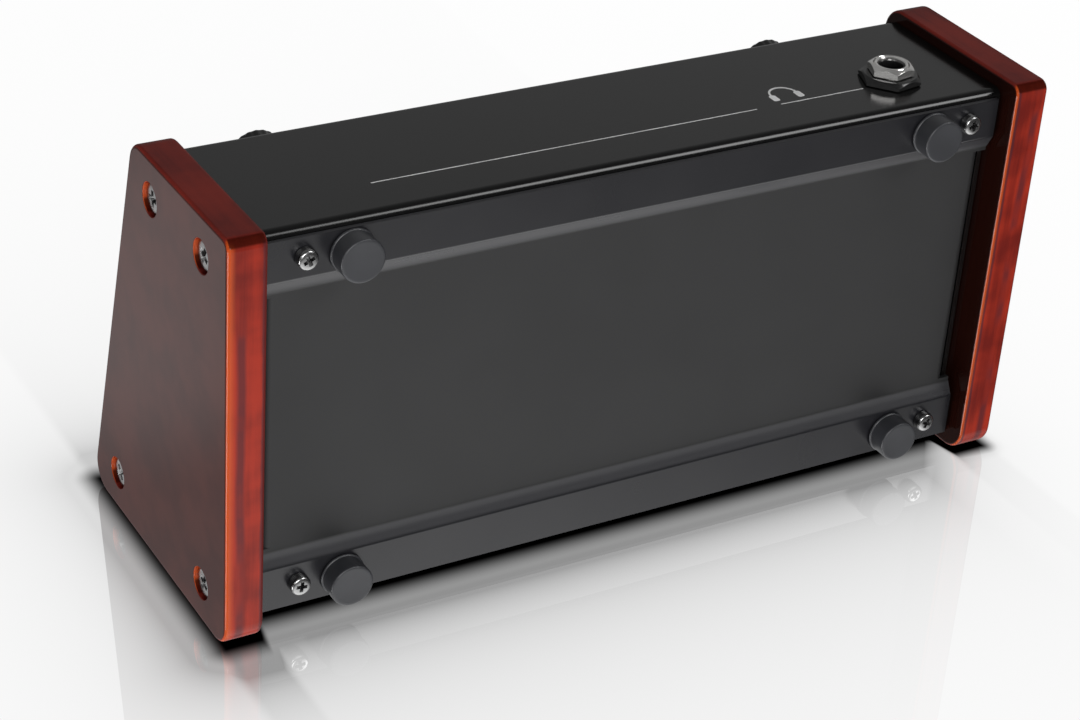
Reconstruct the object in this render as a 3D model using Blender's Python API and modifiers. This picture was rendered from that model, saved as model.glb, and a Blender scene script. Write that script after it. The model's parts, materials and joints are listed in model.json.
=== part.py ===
"""A desktop studio monitor controller with wooden end cheeks and a sloped control panel.

It stands on its four rubber feet: X to the user's right, Y to the rear, Z up, in metres.
Sizes below are set in a working frame whose zero is the front bottom edge of the cheeks, at the
middle of the width. The empty "stand" moves everything so that the feet stand on Z = 0.
"""
import math

import bmesh
import bpy
from mathutils import Matrix, Vector

# Overall form of the wooden cheeks
overall_length = 0.240
cheek_depth = 0.1165
cheek_front_height = 0.0590
cheek_rear_height = 0.0895
cheek_thickness = 0.0105
cheek_corner_radius = 0.0070
cheek_toe_radius = 0.0030
cheek_arris = 0.0014

# How far the metal housing lies inside the cheeks' outline
front_inset = 0.0034
top_inset = 0.0034
rear_inset = 0.0036
base_inset = 0.0050

# Sheet metal
sheet_thickness = 0.0012
fit_gap = 0.0003
bend_radius = 0.0025
front_flange_width = 0.0118
rear_flange_width = 0.0128

# Base plate
front_strip_inset = 0.0053
front_strip_width = 0.0110
rear_strip_inset = 0.0055
rear_strip_width = 0.0124
joggle_run = 0.0041
recess_depth = 0.0022
strip_end_gap = 0.0019
recess_end_gap = 0.0038
end_lip_height = 0.0070
lip_corner_relief = 0.0010

# End plates behind the cheeks
end_plate_thickness = 0.0015
end_plate_lip = 0.0080
end_plate_margin = 0.0006
end_plate_foot = 0.0028

# Cheek screws and their holes
cheek_screw_front = 0.0112
cheek_screw_rear = 0.0113
cheek_screw_low = 0.0155
cheek_screw_below_top = 0.0150
counterbore_diameter = 0.0096
counterbore_depth = 0.0050
cheek_screw_diameter = 0.0040
cheek_screw_head = 0.0080
cheek_screw_head_height = 0.0026
cheek_screw_reach = 0.0035
screw_clearance = 0.0003
screw_crown_share = 0.7
recess_slot_width = 0.0009
recess_slot_share = 0.62
recess_slot_depth_share = 0.6

# Base screws
base_screw_side_inset = 0.0115
base_screw_front_inset = 0.0105
base_screw_rear_inset = 0.0123
base_screw_diameter = 0.0030
base_screw_head = 0.0060
base_screw_head_height = 0.0027
base_screw_length = 0.0060

# Rubber feet
foot_side_inset = 0.0239
foot_front_inset = 0.0113
foot_rear_inset = 0.0114
foot_height = 0.0066
foot_base_diameter = 0.0122
foot_tip_diameter = 0.0114
foot_edge = 0.0006
foot_neck_diameter = 0.0040
foot_plug_diameter = 0.0060
foot_plug_height = 0.0022

# Headphone socket and the two rear input sockets of the same kind
phones_side_inset = 0.0254
phones_height = 0.0234
jack_bore = 0.0066
jack_bore_depth = 0.0200
jack_mouth = 0.0074
jack_bushing = 0.0095
jack_body_width = 0.0160
jack_body_depth = 0.0185
jack_body_edge = 0.0008
jack_nut_flats = 0.0121
jack_nut_height = 0.0027
jack_nut_turn = 14.0
nut_chamfer = 0.0010
phones_washer_width = 0.0176
phones_washer_top = 0.0146
phones_washer_height = 0.0019
phones_washer_slope_share = 0.75
phones_washer_turn = 10.0

# Knobs, shafts and potentiometers, measured along the panel from its front edge
small_knob_side_inset = 0.0303
small_knob_up_panel = 0.0200
small_knob_diameter = 0.0140
small_knob_height = 0.0152
small_knob_flutes = 12
volume_knob_up_panel = 0.0560
volume_knob_diameter = 0.0440
volume_knob_height = 0.0200
volume_knob_flutes = 24
knob_flute_depth_share = 0.035
knob_lift = 0.0008
knob_edge_share = 0.07
knob_top_wall = 0.0030
knob_wall_share = 0.78
pointer_width = 0.0012
pointer_depth = 0.0005
pointer_place_share = 0.7
shaft_diameter = 0.0060
shaft_flat_share = 0.30
pot_bushing = 0.0080
pot_bushing_reach = 0.0050
pot_body_depth = 0.0100
small_pot_diameter = 0.0165
volume_pot_diameter = 0.0240
pot_nut_flats = 0.0092
pot_nut_height = 0.0022

# Push buttons
button_width = 0.0100
button_rise = 0.0045
button_travel = 0.0020
button_corner = 0.0016
button_edge = 0.0006
button_play = 0.0003
button_flange = 0.0012
button_flange_height = 0.0010
button_stem = 0.0034
button_up_panel = 0.0620
button_place_shares = (0.40, 0.585, 0.77)
switch_width = 0.0080
switch_height = 0.0052
switch_well_depth = 0.0034
switch_well_play = 0.0006

# Boards and their cable
board_thickness = 0.0016
board_corner = 0.0030
board_side_gap = 0.0135
main_board_start = 0.0080
main_board_clearance = 0.0080
rear_board_bottom = 0.0120
rear_board_drop = 0.0240
header_length = 0.0280
header_depth = 0.0060
header_height = 0.0075
header_from_board_end = 0.0320
header_on_rear_board = 0.0300
cable_width = 0.0240
cable_thickness = 0.0009
cable_bend = 0.0060
lead_diameter = 0.0028
lead_header_width = 0.0080
lead_header_up_panel = 0.0400

# Rear connectors, seen from behind: their places are shares of the housing's half length
rear_row_height = 0.0500
rear_low_height = 0.0240
xlr_place_shares = (-0.765, -0.469, -0.173, 0.123)
input_place_shares = (0.44, 0.70)
aux_place_share = 0.44
power_place_share = 0.70
xlr_flange_width = 0.0260
xlr_flange_height = 0.0310
xlr_flange_thickness = 0.0016
xlr_flange_corner = 0.0030
xlr_shell_diameter = 0.0236
xlr_cup_diameter = 0.0186
xlr_cup_depth = 0.0130
xlr_pin_diameter = 0.0024
xlr_pin_length = 0.0105
xlr_pin_circle = 0.0076
xlr_screw_hole = 0.0032
xlr_screw_across = 0.0190
xlr_screw_along = 0.0240
connector_depth = 0.0190
aux_nose = 0.0060
aux_bore = 0.0037
aux_bore_depth = 0.0140
aux_width = 0.0110
aux_nose_rise = 0.0006
power_width = 0.0090
power_height = 0.0110
power_bore = 0.0063
power_bore_depth = 0.0095
power_pin_diameter = 0.0021
power_pin_length = 0.0080

# Fineness of the curved faces, and how far a cutter runs past what it cuts
overrun = 0.0020
round_steps = 20
small_steps = 12
nut_steps = 12
screw_steps = 10
pin_steps = 8
bend_steps = 4
corner_steps = 5
flute_points = 4

panel_angle = math.atan2(cheek_rear_height - cheek_front_height, cheek_depth)
panel_rise = math.tan(panel_angle)
rear_face = cheek_depth - rear_inset
flange_level = base_inset + sheet_thickness + fit_gap
inner_end = overall_length / 2 - cheek_thickness
end_plate_face = inner_end - fit_gap
panel_length = (rear_face - front_inset) / math.cos(panel_angle)
front_strip_end = front_strip_inset + front_strip_width
rear_strip_end = cheek_depth - rear_strip_inset
rear_strip_start = rear_strip_end - rear_strip_width
phones_place = inner_end - phones_side_inset
board_length = 2 * (inner_end - board_side_gap)
main_board_end = panel_length - connector_depth - main_board_clearance
header_up_panel = main_board_end - header_from_board_end
xlr_places = [share * inner_end for share in xlr_place_shares]
input_places = [share * inner_end for share in input_place_shares]
aux_place = aux_place_share * inner_end
power_place = power_place_share * inner_end
jack_protrusion = phones_washer_height + jack_nut_height + 2 * fit_gap
front_overhang = max(jack_protrusion - front_inset, 0)
weld_distance = fit_gap / 100

model = bpy.data.collections.new("monitor_controller")
cutters = bpy.data.collections.new("cutters")


def clear_scene():
    for item in list(bpy.data.objects):
        bpy.data.objects.remove(item, do_unlink=True)
    bpy.context.scene.collection.children.link(model)
    bpy.context.scene.collection.children.link(cutters)


def material(name, colour, roughness, metallic=0.0):
    made = bpy.data.materials.new(name)
    made.use_nodes = True
    shader = made.node_tree.nodes["Principled BSDF"]
    shader.inputs["Base Color"].default_value = (*colour, 1)
    shader.inputs["Roughness"].default_value = roughness
    shader.inputs["Metallic"].default_value = metallic
    return made


def make_materials():
    return {
        "lacquered_wood": material("lacquered_wood", (0.20, 0.016, 0.008), 0.2),
        "gloss_black": material("gloss_black", (0.008, 0.008, 0.009), 0.15),
        "satin_black": material("satin_black", (0.016, 0.016, 0.020), 0.45),
        "dark_steel": material("dark_steel", (0.05, 0.05, 0.05), 0.4, 1.0),
        "bright_steel": material("bright_steel", (0.62, 0.61, 0.59), 0.2, 1.0),
        "rubber": material("rubber", (0.020, 0.020, 0.024), 0.7),
        "black_plastic": material("black_plastic", (0.010, 0.010, 0.010), 0.35),
        "grey_plastic": material("grey_plastic", (0.20, 0.20, 0.21), 0.4),
        "board_green": material("board_green", (0.02, 0.12, 0.05), 0.5),
        "cable_grey": material("cable_grey", (0.30, 0.30, 0.31), 0.5),
    }


def frame(name, location, rotation, parent=None):
    """An empty that carries the pieces of one face: its Z points out of that face."""
    made = bpy.data.objects.new(name, None)
    made.location = location
    made.rotation_euler = rotation
    made.parent = parent
    model.objects.link(made)
    return made


def place(piece, parent, location=(0, 0, 0), rotation=(0, 0, 0)):
    piece.parent = parent
    piece.location = location
    piece.rotation_euler = rotation
    return piece


def finish(piece, finish_material):
    piece.data.materials.clear()
    piece.data.materials.append(finish_material)
    piece.data.shade_smooth()
    piece.data.set_sharp_from_angle(angle=math.radians(32))
    return piece


def new_piece(name, mesh, collection=model):
    made = bpy.data.objects.new(name, mesh)
    collection.objects.link(made)
    return made


def round_corner(before, corner, after, radius, steps):
    """The points of an arc that rounds one corner of a path."""
    to_before = (Vector(before) - Vector(corner)).normalized()
    to_after = (Vector(after) - Vector(corner)).normalized()
    if radius == 0:
        return [Vector(corner)]
    half = to_before.angle(to_after) / 2
    start = Vector(corner) + to_before * radius / math.tan(half)
    centre = Vector(corner) + (to_before + to_after).normalized() * radius / math.sin(half)
    turn = (start - centre).angle_signed(Vector(corner) + to_after * radius / math.tan(half) - centre)
    return [centre + Matrix.Rotation(-turn * i / steps, 2) @ (start - centre) for i in range(steps + 1)]


def rounded_outline(corners, radii, steps):
    points = []
    for i, corner in enumerate(corners):
        points += round_corner(corners[i - 1], corner, corners[(i + 1) % len(corners)], radii[i], steps)
    return points


def rounded_path(corners, radii, steps):
    points = [Vector(corners[0])]
    for i in range(1, len(corners) - 1):
        points += round_corner(corners[i - 1], corners[i], corners[i + 1], radii[i - 1], steps)
    return points + [Vector(corners[-1])]


def rectangle(width, height, radius, steps=corner_steps):
    x, y = width / 2, height / 2
    return rounded_outline([(x, -y), (x, y), (-x, y), (-x, -y)], [radius] * 4, steps)


def curve_as_mesh(curve):
    """The closed mesh of a curve object, with its caps welded; the curve is removed."""
    graph = bpy.context.evaluated_depsgraph_get()
    mesh = bpy.data.meshes.new_from_object(curve.evaluated_get(graph))
    shape = bmesh.new()
    shape.from_mesh(mesh)
    bmesh.ops.remove_doubles(shape, verts=shape.verts, dist=weld_distance)
    bmesh.ops.recalc_face_normals(shape, faces=shape.faces)
    shape.to_mesh(mesh)
    shape.free()
    bpy.data.objects.remove(curve, do_unlink=True)
    return mesh


def plate(name, outline, thickness, collection=model):
    """A flat outline in XY with its thickness centred on Z = 0."""
    curve = bpy.data.curves.new(name + "_outline", "CURVE")
    curve.dimensions = "2D"
    curve.fill_mode = "BOTH"
    curve.extrude = thickness / 2
    spline = curve.splines.new("POLY")
    spline.points.add(len(outline) - 1)
    for point, place_on_outline in zip(spline.points, outline):
        point.co = (*place_on_outline, 0, 1)
    spline.use_cyclic_u = True
    source = new_piece(name + "_outline", curve, cutters)
    bpy.context.view_layer.update()
    return new_piece(name, curve_as_mesh(source), collection)


def shift_mesh(piece, offset):
    piece.data.transform(Matrix.Translation(offset))
    return piece


def turned(name, profile, steps=round_steps, collection=model):
    """A body of revolution round Z; the profile (radius, height) runs down its outer side."""
    mesh = bpy.data.meshes.new(name)
    edges = [(i, i + 1) for i in range(len(profile) - 1)]
    mesh.from_pydata([(radius, 0, height) for radius, height in profile], edges, [])
    made = new_piece(name, mesh, collection)
    screw = made.modifiers.new("turn", "SCREW")
    screw.angle = math.tau
    screw.steps = steps
    screw.render_steps = steps
    screw.use_merge_vertices = True
    screw.merge_threshold = weld_distance
    return made


def block(name, size, centre=(0, 0, 0), collection=model):
    shape = bmesh.new()
    bmesh.ops.create_cube(shape, size=1)
    bmesh.ops.scale(shape, vec=size, verts=shape.verts)
    bmesh.ops.translate(shape, vec=centre, verts=shape.verts)
    mesh = bpy.data.meshes.new(name)
    shape.to_mesh(mesh)
    shape.free()
    return new_piece(name, mesh, collection)


def rod(name, diameter, bottom, top, centre=(0, 0), steps=round_steps, collection=model):
    """A cylinder along Z between two heights; with six steps it is a hexagon."""
    shape = bmesh.new()
    bmesh.ops.create_cone(shape, cap_ends=True, segments=steps, radius1=diameter / 2,
                          radius2=diameter / 2, depth=top - bottom)
    bmesh.ops.translate(shape, vec=(*centre, (top + bottom) / 2), verts=shape.verts)
    mesh = bpy.data.meshes.new(name)
    shape.to_mesh(mesh)
    shape.free()
    return new_piece(name, mesh, collection)


def boolean(piece, tool, operation):
    step = piece.modifiers.new(operation.lower(), "BOOLEAN")
    step.operation = operation
    step.object = tool
    tool.hide_render = True
    tool.display_type = "WIRE"
    return piece


def cut(piece, tool):
    return boolean(piece, tool, "DIFFERENCE")


def join(piece, tool):
    return boolean(piece, tool, "UNION")


def bevel(piece, width, segments=1, angle=50):
    step = piece.modifiers.new("edges", "BEVEL")
    step.width = width
    step.segments = segments
    step.limit_method = "ANGLE"
    step.angle_limit = math.radians(angle)
    return piece


def cutter_rod(name, parent, diameter, bottom, top, centre, steps=round_steps):
    tool = rod(name, diameter, bottom, top, steps=steps, collection=cutters)
    return place(tool, parent, (*centre, 0))


def panel_height(y):
    """The level of the sloped panel's outer face over a place on the base."""
    return cheek_front_height + panel_rise * y - top_inset / math.cos(panel_angle)


def make_frames():
    stand = frame("stand", (0, -(cheek_depth - front_overhang) / 2, foot_height - base_inset), (0, 0, 0))
    frames = {"stand": stand}
    front_edge = (0, front_inset, panel_height(front_inset))
    frames["panel"] = frame("panel_face", front_edge, (panel_angle, 0, 0), stand)
    frames["front"] = frame("front_face", (0, front_inset, 0), (math.pi / 2, 0, 0), stand)
    frames["rear"] = frame("rear_face", (0, rear_face, 0), (math.pi / 2, 0, math.pi), stand)
    frames["base"] = frame("base_face", (0, 0, base_inset), (math.pi, 0, 0), stand)
    left_end = (-overall_length / 2, 0, 0)
    right_end = (overall_length / 2, 0, 0)
    frames["left"] = frame("left_end", left_end, (math.pi / 2, 0, -math.pi / 2), stand)
    frames["right"] = frame("right_end", right_end, (math.pi / 2, 0, math.pi / 2), stand)
    return frames


def cheek_outline():
    corners = [(0, 0), (cheek_depth, 0), (cheek_depth, cheek_rear_height), (0, cheek_front_height)]
    radii = [cheek_toe_radius] + [cheek_corner_radius] * 3
    return rounded_outline(corners, radii, corner_steps)


def cheek_screw_places():
    rear = cheek_depth - cheek_screw_rear
    front_top = cheek_front_height + panel_rise * cheek_screw_front - cheek_screw_below_top
    rear_top = cheek_front_height + panel_rise * rear - cheek_screw_below_top
    return [(cheek_screw_front, cheek_screw_low), (cheek_screw_front, front_top),
            (rear, rear_top), (rear, cheek_screw_low)]


def make_cheek(side, face, finish_material):
    """A wooden end cheek in its face's frame: X runs along the depth, Z points outwards."""
    along = 1 if side == "right" else -1
    outline = [(along * y, z) for y, z in cheek_outline()]
    cheek = plate("cheek_" + side, outline, cheek_thickness)
    shift_mesh(cheek, (0, 0, -cheek_thickness / 2))
    bevel(cheek, cheek_arris, segments=2, angle=60)
    for i, (y, z) in enumerate(cheek_screw_places(), 1):
        head = counterbore_diameter / 2
        shank = cheek_screw_diameter / 2 + screw_clearance
        step = [(0, overrun), (head, overrun), (head, -counterbore_depth), (shank, -counterbore_depth),
                (shank, -cheek_thickness - overrun), (0, -cheek_thickness - overrun)]
        tool = turned(f"cheek_{side}_hole_{i}", step, steps=small_steps, collection=cutters)
        cut(cheek, place(tool, face, (along * y, z, 0)))
    place(cheek, face)
    return finish(cheek, finish_material)


def cross_recess(name, head_diameter, top, depth):
    """The two crossed slots of a screw head, as one cutter."""
    length = head_diameter * recess_slot_share
    first = block(name, (length, recess_slot_width, 2 * depth), (0, 0, top), cutters)
    second = block(name + "_across", (recess_slot_width, length, 2 * depth), (0, 0, top), cutters)
    join(first, second)
    second.parent = first
    return first


def make_screw(name, head, head_height, shank, length, finish_material):
    """A cross-head screw whose head sits on Z = 0 and whose shank runs down from it."""
    crown = screw_crown_share
    profile = [(0, head_height), (head * crown / 2, head_height), (head / 2, head_height * crown / 2),
               (head / 2, 0), (shank / 2, 0), (shank / 2, -length), (0, -length)]
    screw = turned(name, profile, steps=screw_steps)
    recess = cross_recess(name + "_recess", head, head_height, head_height * recess_slot_depth_share)
    recess.parent = screw
    cut(screw, recess)
    return finish(screw, finish_material)


def make_cheek_screws(side, face, finish_material):
    along = 1 if side == "right" else -1
    length = cheek_thickness - counterbore_depth + fit_gap + end_plate_thickness + cheek_screw_reach
    for i, (y, z) in enumerate(cheek_screw_places(), 1):
        screw = make_screw(f"cheek_screw_{side}_{i}", cheek_screw_head, cheek_screw_head_height,
                           cheek_screw_diameter, length, finish_material)
        place(screw, face, (along * y, z, -counterbore_depth + fit_gap))


def sheet(name, points, half_length, thickness):
    """An open strip of sheet metal: a path in YZ drawn out along X, then given its thickness."""
    shape = bmesh.new()
    verts = [shape.verts.new((-half_length, y, z)) for y, z in points]
    edges = [shape.edges.new(pair) for pair in zip(verts, verts[1:])]
    drawn = bmesh.ops.extrude_edge_only(shape, edges=edges)
    moved = [item for item in drawn["geom"] if isinstance(item, bmesh.types.BMVert)]
    bmesh.ops.translate(shape, vec=(2 * half_length, 0, 0), verts=moved)
    mesh = bpy.data.meshes.new(name)
    shape.to_mesh(mesh)
    shape.free()
    made = new_piece(name, mesh)
    wall = made.modifiers.new("wall", "SOLIDIFY")
    wall.thickness = thickness
    wall.offset = -1
    wall.use_even_offset = True
    return made


def make_cover(frames, finish_material):
    """One folded sheet: front flange, front face, sloped panel, rear face and rear flange."""
    corners = [
        (front_inset + front_flange_width, flange_level),
        (front_inset, flange_level),
        (front_inset, panel_height(front_inset)),
        (rear_face, panel_height(rear_face)),
        (rear_face, flange_level),
        (rear_face - rear_flange_width, flange_level),
    ]
    path = rounded_path(corners, [bend_radius] * 4, bend_steps)
    cover = sheet("cover", path, end_plate_face, sheet_thickness)
    deep = -(sheet_thickness + overrun)
    hole = pot_bushing + 2 * fit_gap
    for name, x, up in knob_places():
        cut(cover, cutter_rod(name + "_hole", frames["panel"], hole, deep, overrun, (x, up), small_steps))
    for name, x in button_places():
        size = button_width + 2 * button_play
        outline = rectangle(size, size, button_corner + button_play, 2)
        tool = plate(name + "_hole", outline, 2 * -deep, cutters)
        cut(cover, place(tool, frames["panel"], (x, button_up_panel, 0)))
    hole = jack_bushing + 2 * fit_gap
    centre = (phones_place, phones_height)
    cut(cover, cutter_rod("phones_hole", frames["front"], hole, deep, overrun, centre, small_steps))
    for i, x in enumerate(xlr_places):
        hole = xlr_shell_diameter + 2 * fit_gap
        cut(cover, cutter_rod(f"xlr_hole_{i}", frames["rear"], hole, deep, overrun, (x, rear_row_height)))
    for i, x in enumerate(input_places):
        hole = jack_bushing + 2 * fit_gap
        centre = (x, rear_row_height)
        cut(cover, cutter_rod(f"input_hole_{i}", frames["rear"], hole, deep, overrun, centre, small_steps))
    hole = aux_nose + 2 * fit_gap
    centre = (aux_place, rear_low_height)
    cut(cover, cutter_rod("aux_hole", frames["rear"], hole, deep, overrun, centre, small_steps))
    size = (power_width + 2 * fit_gap, power_height + 2 * fit_gap, -2 * deep)
    tool = block("power_hole", size, collection=cutters)
    cut(cover, place(tool, frames["rear"], (power_place, rear_low_height, 0)))
    for name, centre, diameter in base_hole_places():
        cut(cover, cutter_rod(name, frames["base"], diameter, 2 * deep, overrun, centre, small_steps))
    place(cover, frames["stand"])
    return finish(cover, finish_material)


def base_hole_places(tag="flange"):
    """Every hole through a strip and the flange behind it, in the underside's frame."""
    holes = []
    screw_hole = base_screw_diameter + 2 * screw_clearance
    foot_hole = foot_neck_diameter + 2 * fit_gap
    for name, x, y in base_screw_places():
        holes.append((f"{tag}_{name}", (x, -y), screw_hole))
    for name, x, y in foot_places():
        holes.append((f"{tag}_{name}", (x, -y), foot_hole))
    return holes


def base_screw_places():
    x = inner_end - base_screw_side_inset
    return [(f"base_screw_{end}_{side}", sign * x, y)
            for end, y in (("front", base_screw_front_inset), ("rear", cheek_depth - base_screw_rear_inset))
            for side, sign in (("left", -1), ("right", 1))]


def foot_places():
    x = inner_end - foot_side_inset
    return [(f"foot_{end}_{side}", sign * x, y)
            for end, y in (("front", foot_front_inset), ("rear", cheek_depth - foot_rear_inset))
            for side, sign in (("left", -1), ("right", 1))]


def make_base_plate(frames, finish_material):
    """A pressed plate: strips on both flanges, a recessed panel between, its ends turned up."""
    level = base_inset
    panel_level = level + recess_depth
    front_end = front_strip_end + joggle_run
    rear_start = rear_strip_start - joggle_run
    path = [(front_strip_inset, level), (front_strip_end, level), (front_end, panel_level),
            (front_end + lip_corner_relief, panel_level), (rear_start - lip_corner_relief, panel_level),
            (rear_start, panel_level), (rear_strip_start, level), (rear_strip_end, level)]
    strip_end = inner_end - strip_end_gap
    panel_end = inner_end - recess_end_gap - bend_radius
    stations = [-strip_end, -panel_end, panel_end, strip_end]
    shape = bmesh.new()
    rows = [[shape.verts.new((x, y, z)) for x in stations] for y, z in path]
    for i, (row, following) in enumerate(zip(rows, rows[1:])):
        on_strip_or_step = min(i, len(path) - 2 - i) < 2
        for c in (0, 1, 2) if on_strip_or_step else (1,):
            shape.faces.new((row[c], following[c], following[c + 1], row[c + 1]))
    for column, sign in ((1, -1), (2, 1)):
        edge = shape.edges.get((rows[3][column], rows[4][column]))
        lip = [edge]
        for i in range(1, bend_steps + 1):
            turn = math.pi / 2 * i / bend_steps
            lip = fold(shape, lip, (sign * panel_end + sign * bend_radius * math.sin(turn), None,
                                    panel_level + bend_radius * (1 - math.cos(turn))))
        fold(shape, lip, (sign * (panel_end + bend_radius), None, panel_level + end_lip_height))
    mesh = bpy.data.meshes.new("base_plate")
    bmesh.ops.delete(shape, geom=[v for v in shape.verts if not v.link_faces], context="VERTS")
    shape.to_mesh(mesh)
    shape.free()
    base = new_piece("base_plate", mesh)
    wall = base.modifiers.new("wall", "SOLIDIFY")
    wall.thickness = sheet_thickness
    wall.offset = -1
    wall.use_even_offset = True
    for name, centre, diameter in base_hole_places("strip"):
        tool = cutter_rod(name, frames["base"], diameter, -(sheet_thickness + overrun), overrun,
                          centre, small_steps)
        cut(base, tool)
    place(base, frames["stand"])
    return finish(base, finish_material)


def fold(shape, edges, to):
    """Draw edges out to a new X and Z, as one step of a bend."""
    drawn = bmesh.ops.extrude_edge_only(shape, edges=edges)["geom"]
    for item in drawn:
        if isinstance(item, bmesh.types.BMVert):
            item.co = (to[0], item.co.y, to[2])
    return [item for item in drawn if isinstance(item, bmesh.types.BMEdge)
            and all(v in drawn for v in item.verts)]


def make_end_plate(side, frames, finish_material):
    """A steel tray behind the cheek: its lips follow the front, the panel and the rear."""
    sign = 1 if side == "right" else -1
    skin = sheet_thickness + end_plate_margin
    front = front_inset + skin
    rear = rear_face - skin
    drop = skin / math.cos(panel_angle)
    bottom = flange_level + sheet_thickness + end_plate_foot
    corners = [(rear, bottom), (rear, panel_height(rear) - drop), (front, panel_height(front) - drop),
               (front, bottom)]
    path = rounded_path(corners, [bend_radius] * 2, bend_steps)
    shape = bmesh.new()
    verts = [shape.verts.new((0, y, z)) for y, z in path]
    web = shape.faces.new(verts)
    rim = [edge for edge in web.edges if not all(v in (verts[0], verts[-1]) for v in edge.verts)]
    drawn = bmesh.ops.extrude_edge_only(shape, edges=rim)["geom"]
    moved = [item for item in drawn if isinstance(item, bmesh.types.BMVert)]
    bmesh.ops.translate(shape, vec=(-sign * end_plate_lip, 0, 0), verts=moved)
    bmesh.ops.recalc_face_normals(shape, faces=shape.faces)
    mesh = bpy.data.meshes.new("end_plate_" + side)
    shape.to_mesh(mesh)
    shape.free()
    tray = new_piece("end_plate_" + side, mesh)
    wall = tray.modifiers.new("wall", "SOLIDIFY")
    wall.thickness = end_plate_thickness
    wall.offset = -1
    wall.use_even_offset = True
    for i, (y, z) in enumerate(cheek_screw_places(), 1):
        diameter = cheek_screw_diameter + 2 * screw_clearance
        low = -(cheek_thickness + end_plate_thickness + overrun)
        tool = cutter_rod(f"end_plate_{side}_hole_{i}", frames[side], diameter, low, -cheek_thickness / 2,
                          (sign * y, z), small_steps)
        cut(tray, tool)
    place(tray, frames["stand"], (sign * end_plate_face, 0, 0))
    return finish(tray, finish_material)


def make_base_screws(frames, finish_material):
    for name, x, y in base_screw_places():
        screw = make_screw(name, base_screw_head, base_screw_head_height, base_screw_diameter,
                           base_screw_length, finish_material)
        place(screw, frames["base"], (x, -y, fit_gap))


def make_feet(frames, finish_material):
    """A rubber foot: a tapered disc, and a neck through the sheets with a plug behind them."""
    sheets = 2 * sheet_thickness + fit_gap
    base, tip, neck, plug = (size / 2 for size in (foot_base_diameter, foot_tip_diameter,
                                                   foot_neck_diameter, foot_plug_diameter))
    profile = [(0, foot_height), (tip - foot_edge, foot_height), (tip, foot_height - foot_edge),
               (base, foot_edge + fit_gap), (base - foot_edge / 2, fit_gap), (neck, fit_gap),
               (neck, -sheets - fit_gap), (plug, -sheets - fit_gap),
               (neck, -sheets - foot_plug_height), (0, -sheets - foot_plug_height)]
    for name, x, y in foot_places():
        foot = turned(name, profile)
        place(foot, frames["base"], (x, -y, 0))
        finish(foot, finish_material)


def make_hex_nut(name, flats, height, bore, turn, finish_material):
    """A hex nut on Z = 0 with its upper corners turned off."""
    nut = rod(name, flats / math.cos(math.pi / 6), 0, height, steps=6)
    nut.data.transform(Matrix.Rotation(math.radians(turn), 4, "Z"))
    outer = flats / math.cos(math.pi / 6) / 2 + overrun
    chamfer = nut_chamfer + (outer - flats / 2) * math.tan(math.pi / 6)
    crown = flats / 2 - nut_chamfer / 2
    profile = [(0, height), (crown, height), (outer, height - chamfer), (outer, -overrun), (0, -overrun)]
    tool = turned(name + "_crown", profile, steps=nut_steps, collection=cutters)
    tool.parent = nut
    boolean(nut, tool, "INTERSECT")
    bore_tool = rod(name + "_bore", bore, -overrun, height + overrun, steps=small_steps, collection=cutters)
    bore_tool.parent = nut
    cut(nut, bore_tool)
    return finish(nut, finish_material)


def make_jack(name, nose, depth, finish_material):
    """A 6.35 mm socket: threaded nose through the sheet, body behind it, a plain bore."""
    back = -sheet_thickness - fit_gap
    jack = block(name, (jack_body_width, jack_body_width, depth), (0, 0, back - depth / 2))
    bevel(jack, jack_body_edge)
    bushing = rod(name + "_bushing", jack_bushing, back - overrun, nose, collection=cutters)
    bushing.parent = jack
    join(jack, bushing)
    lead_in = (jack_mouth - jack_bore) / 2
    floor = nose - jack_bore_depth
    profile = [(0, nose + overrun), (jack_mouth / 2, nose + overrun), (jack_mouth / 2, nose),
               (jack_bore / 2, nose - lead_in), (jack_bore / 2, floor), (0, floor)]
    bore = turned(name + "_bore", profile, collection=cutters)
    bore.parent = jack
    cut(jack, bore)
    return finish(jack, finish_material)


def make_front_socket(frames, materials):
    centre = (phones_place, phones_height)
    seat = phones_washer_height + fit_gap
    nose = seat + jack_nut_height + fit_gap
    jack = make_jack("phones_jack", nose, jack_body_depth, materials["black_plastic"])
    place(jack, frames["front"], (*centre, 0))
    bore = jack_bushing + 2 * fit_gap
    washer = rod("phones_washer", phones_washer_width, fit_gap, seat, steps=6)
    washer.data.transform(Matrix.Rotation(math.radians(phones_washer_turn), 4, "Z"))
    outer = phones_washer_width / 2
    shoulder = seat - phones_washer_height * phones_washer_slope_share
    profile = [(0, seat), (phones_washer_top / 2, seat), (outer, shoulder), (outer, 0), (0, 0)]
    crown = turned("phones_washer_crown", profile, steps=nut_steps, collection=cutters)
    crown.parent = washer
    boolean(washer, crown, "INTERSECT")
    hole = rod("phones_washer_bore", bore, -overrun, seat + overrun, steps=small_steps, collection=cutters)
    hole.parent = washer
    cut(washer, hole)
    place(washer, frames["front"], (*centre, 0))
    finish(washer, materials["black_plastic"])
    nut = make_hex_nut("phones_nut", jack_nut_flats, jack_nut_height, bore, jack_nut_turn,
                       materials["bright_steel"])
    place(nut, frames["front"], (*centre, seat + fit_gap))


def knob_places():
    x = inner_end - small_knob_side_inset
    return [("trim", -x, small_knob_up_panel), ("volume", 0, volume_knob_up_panel),
            ("phones", x, small_knob_up_panel)]


def fluted_outline(diameter, flutes):
    points = []
    count = flutes * flute_points
    for i in range(count):
        turn = math.tau * i / count
        dip = diameter / 2 * knob_flute_depth_share * (1 - math.cos(flutes * turn)) / 2
        radius = diameter / 2 - dip
        points.append((radius * math.cos(turn), radius * math.sin(turn)))
    return points


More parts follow.
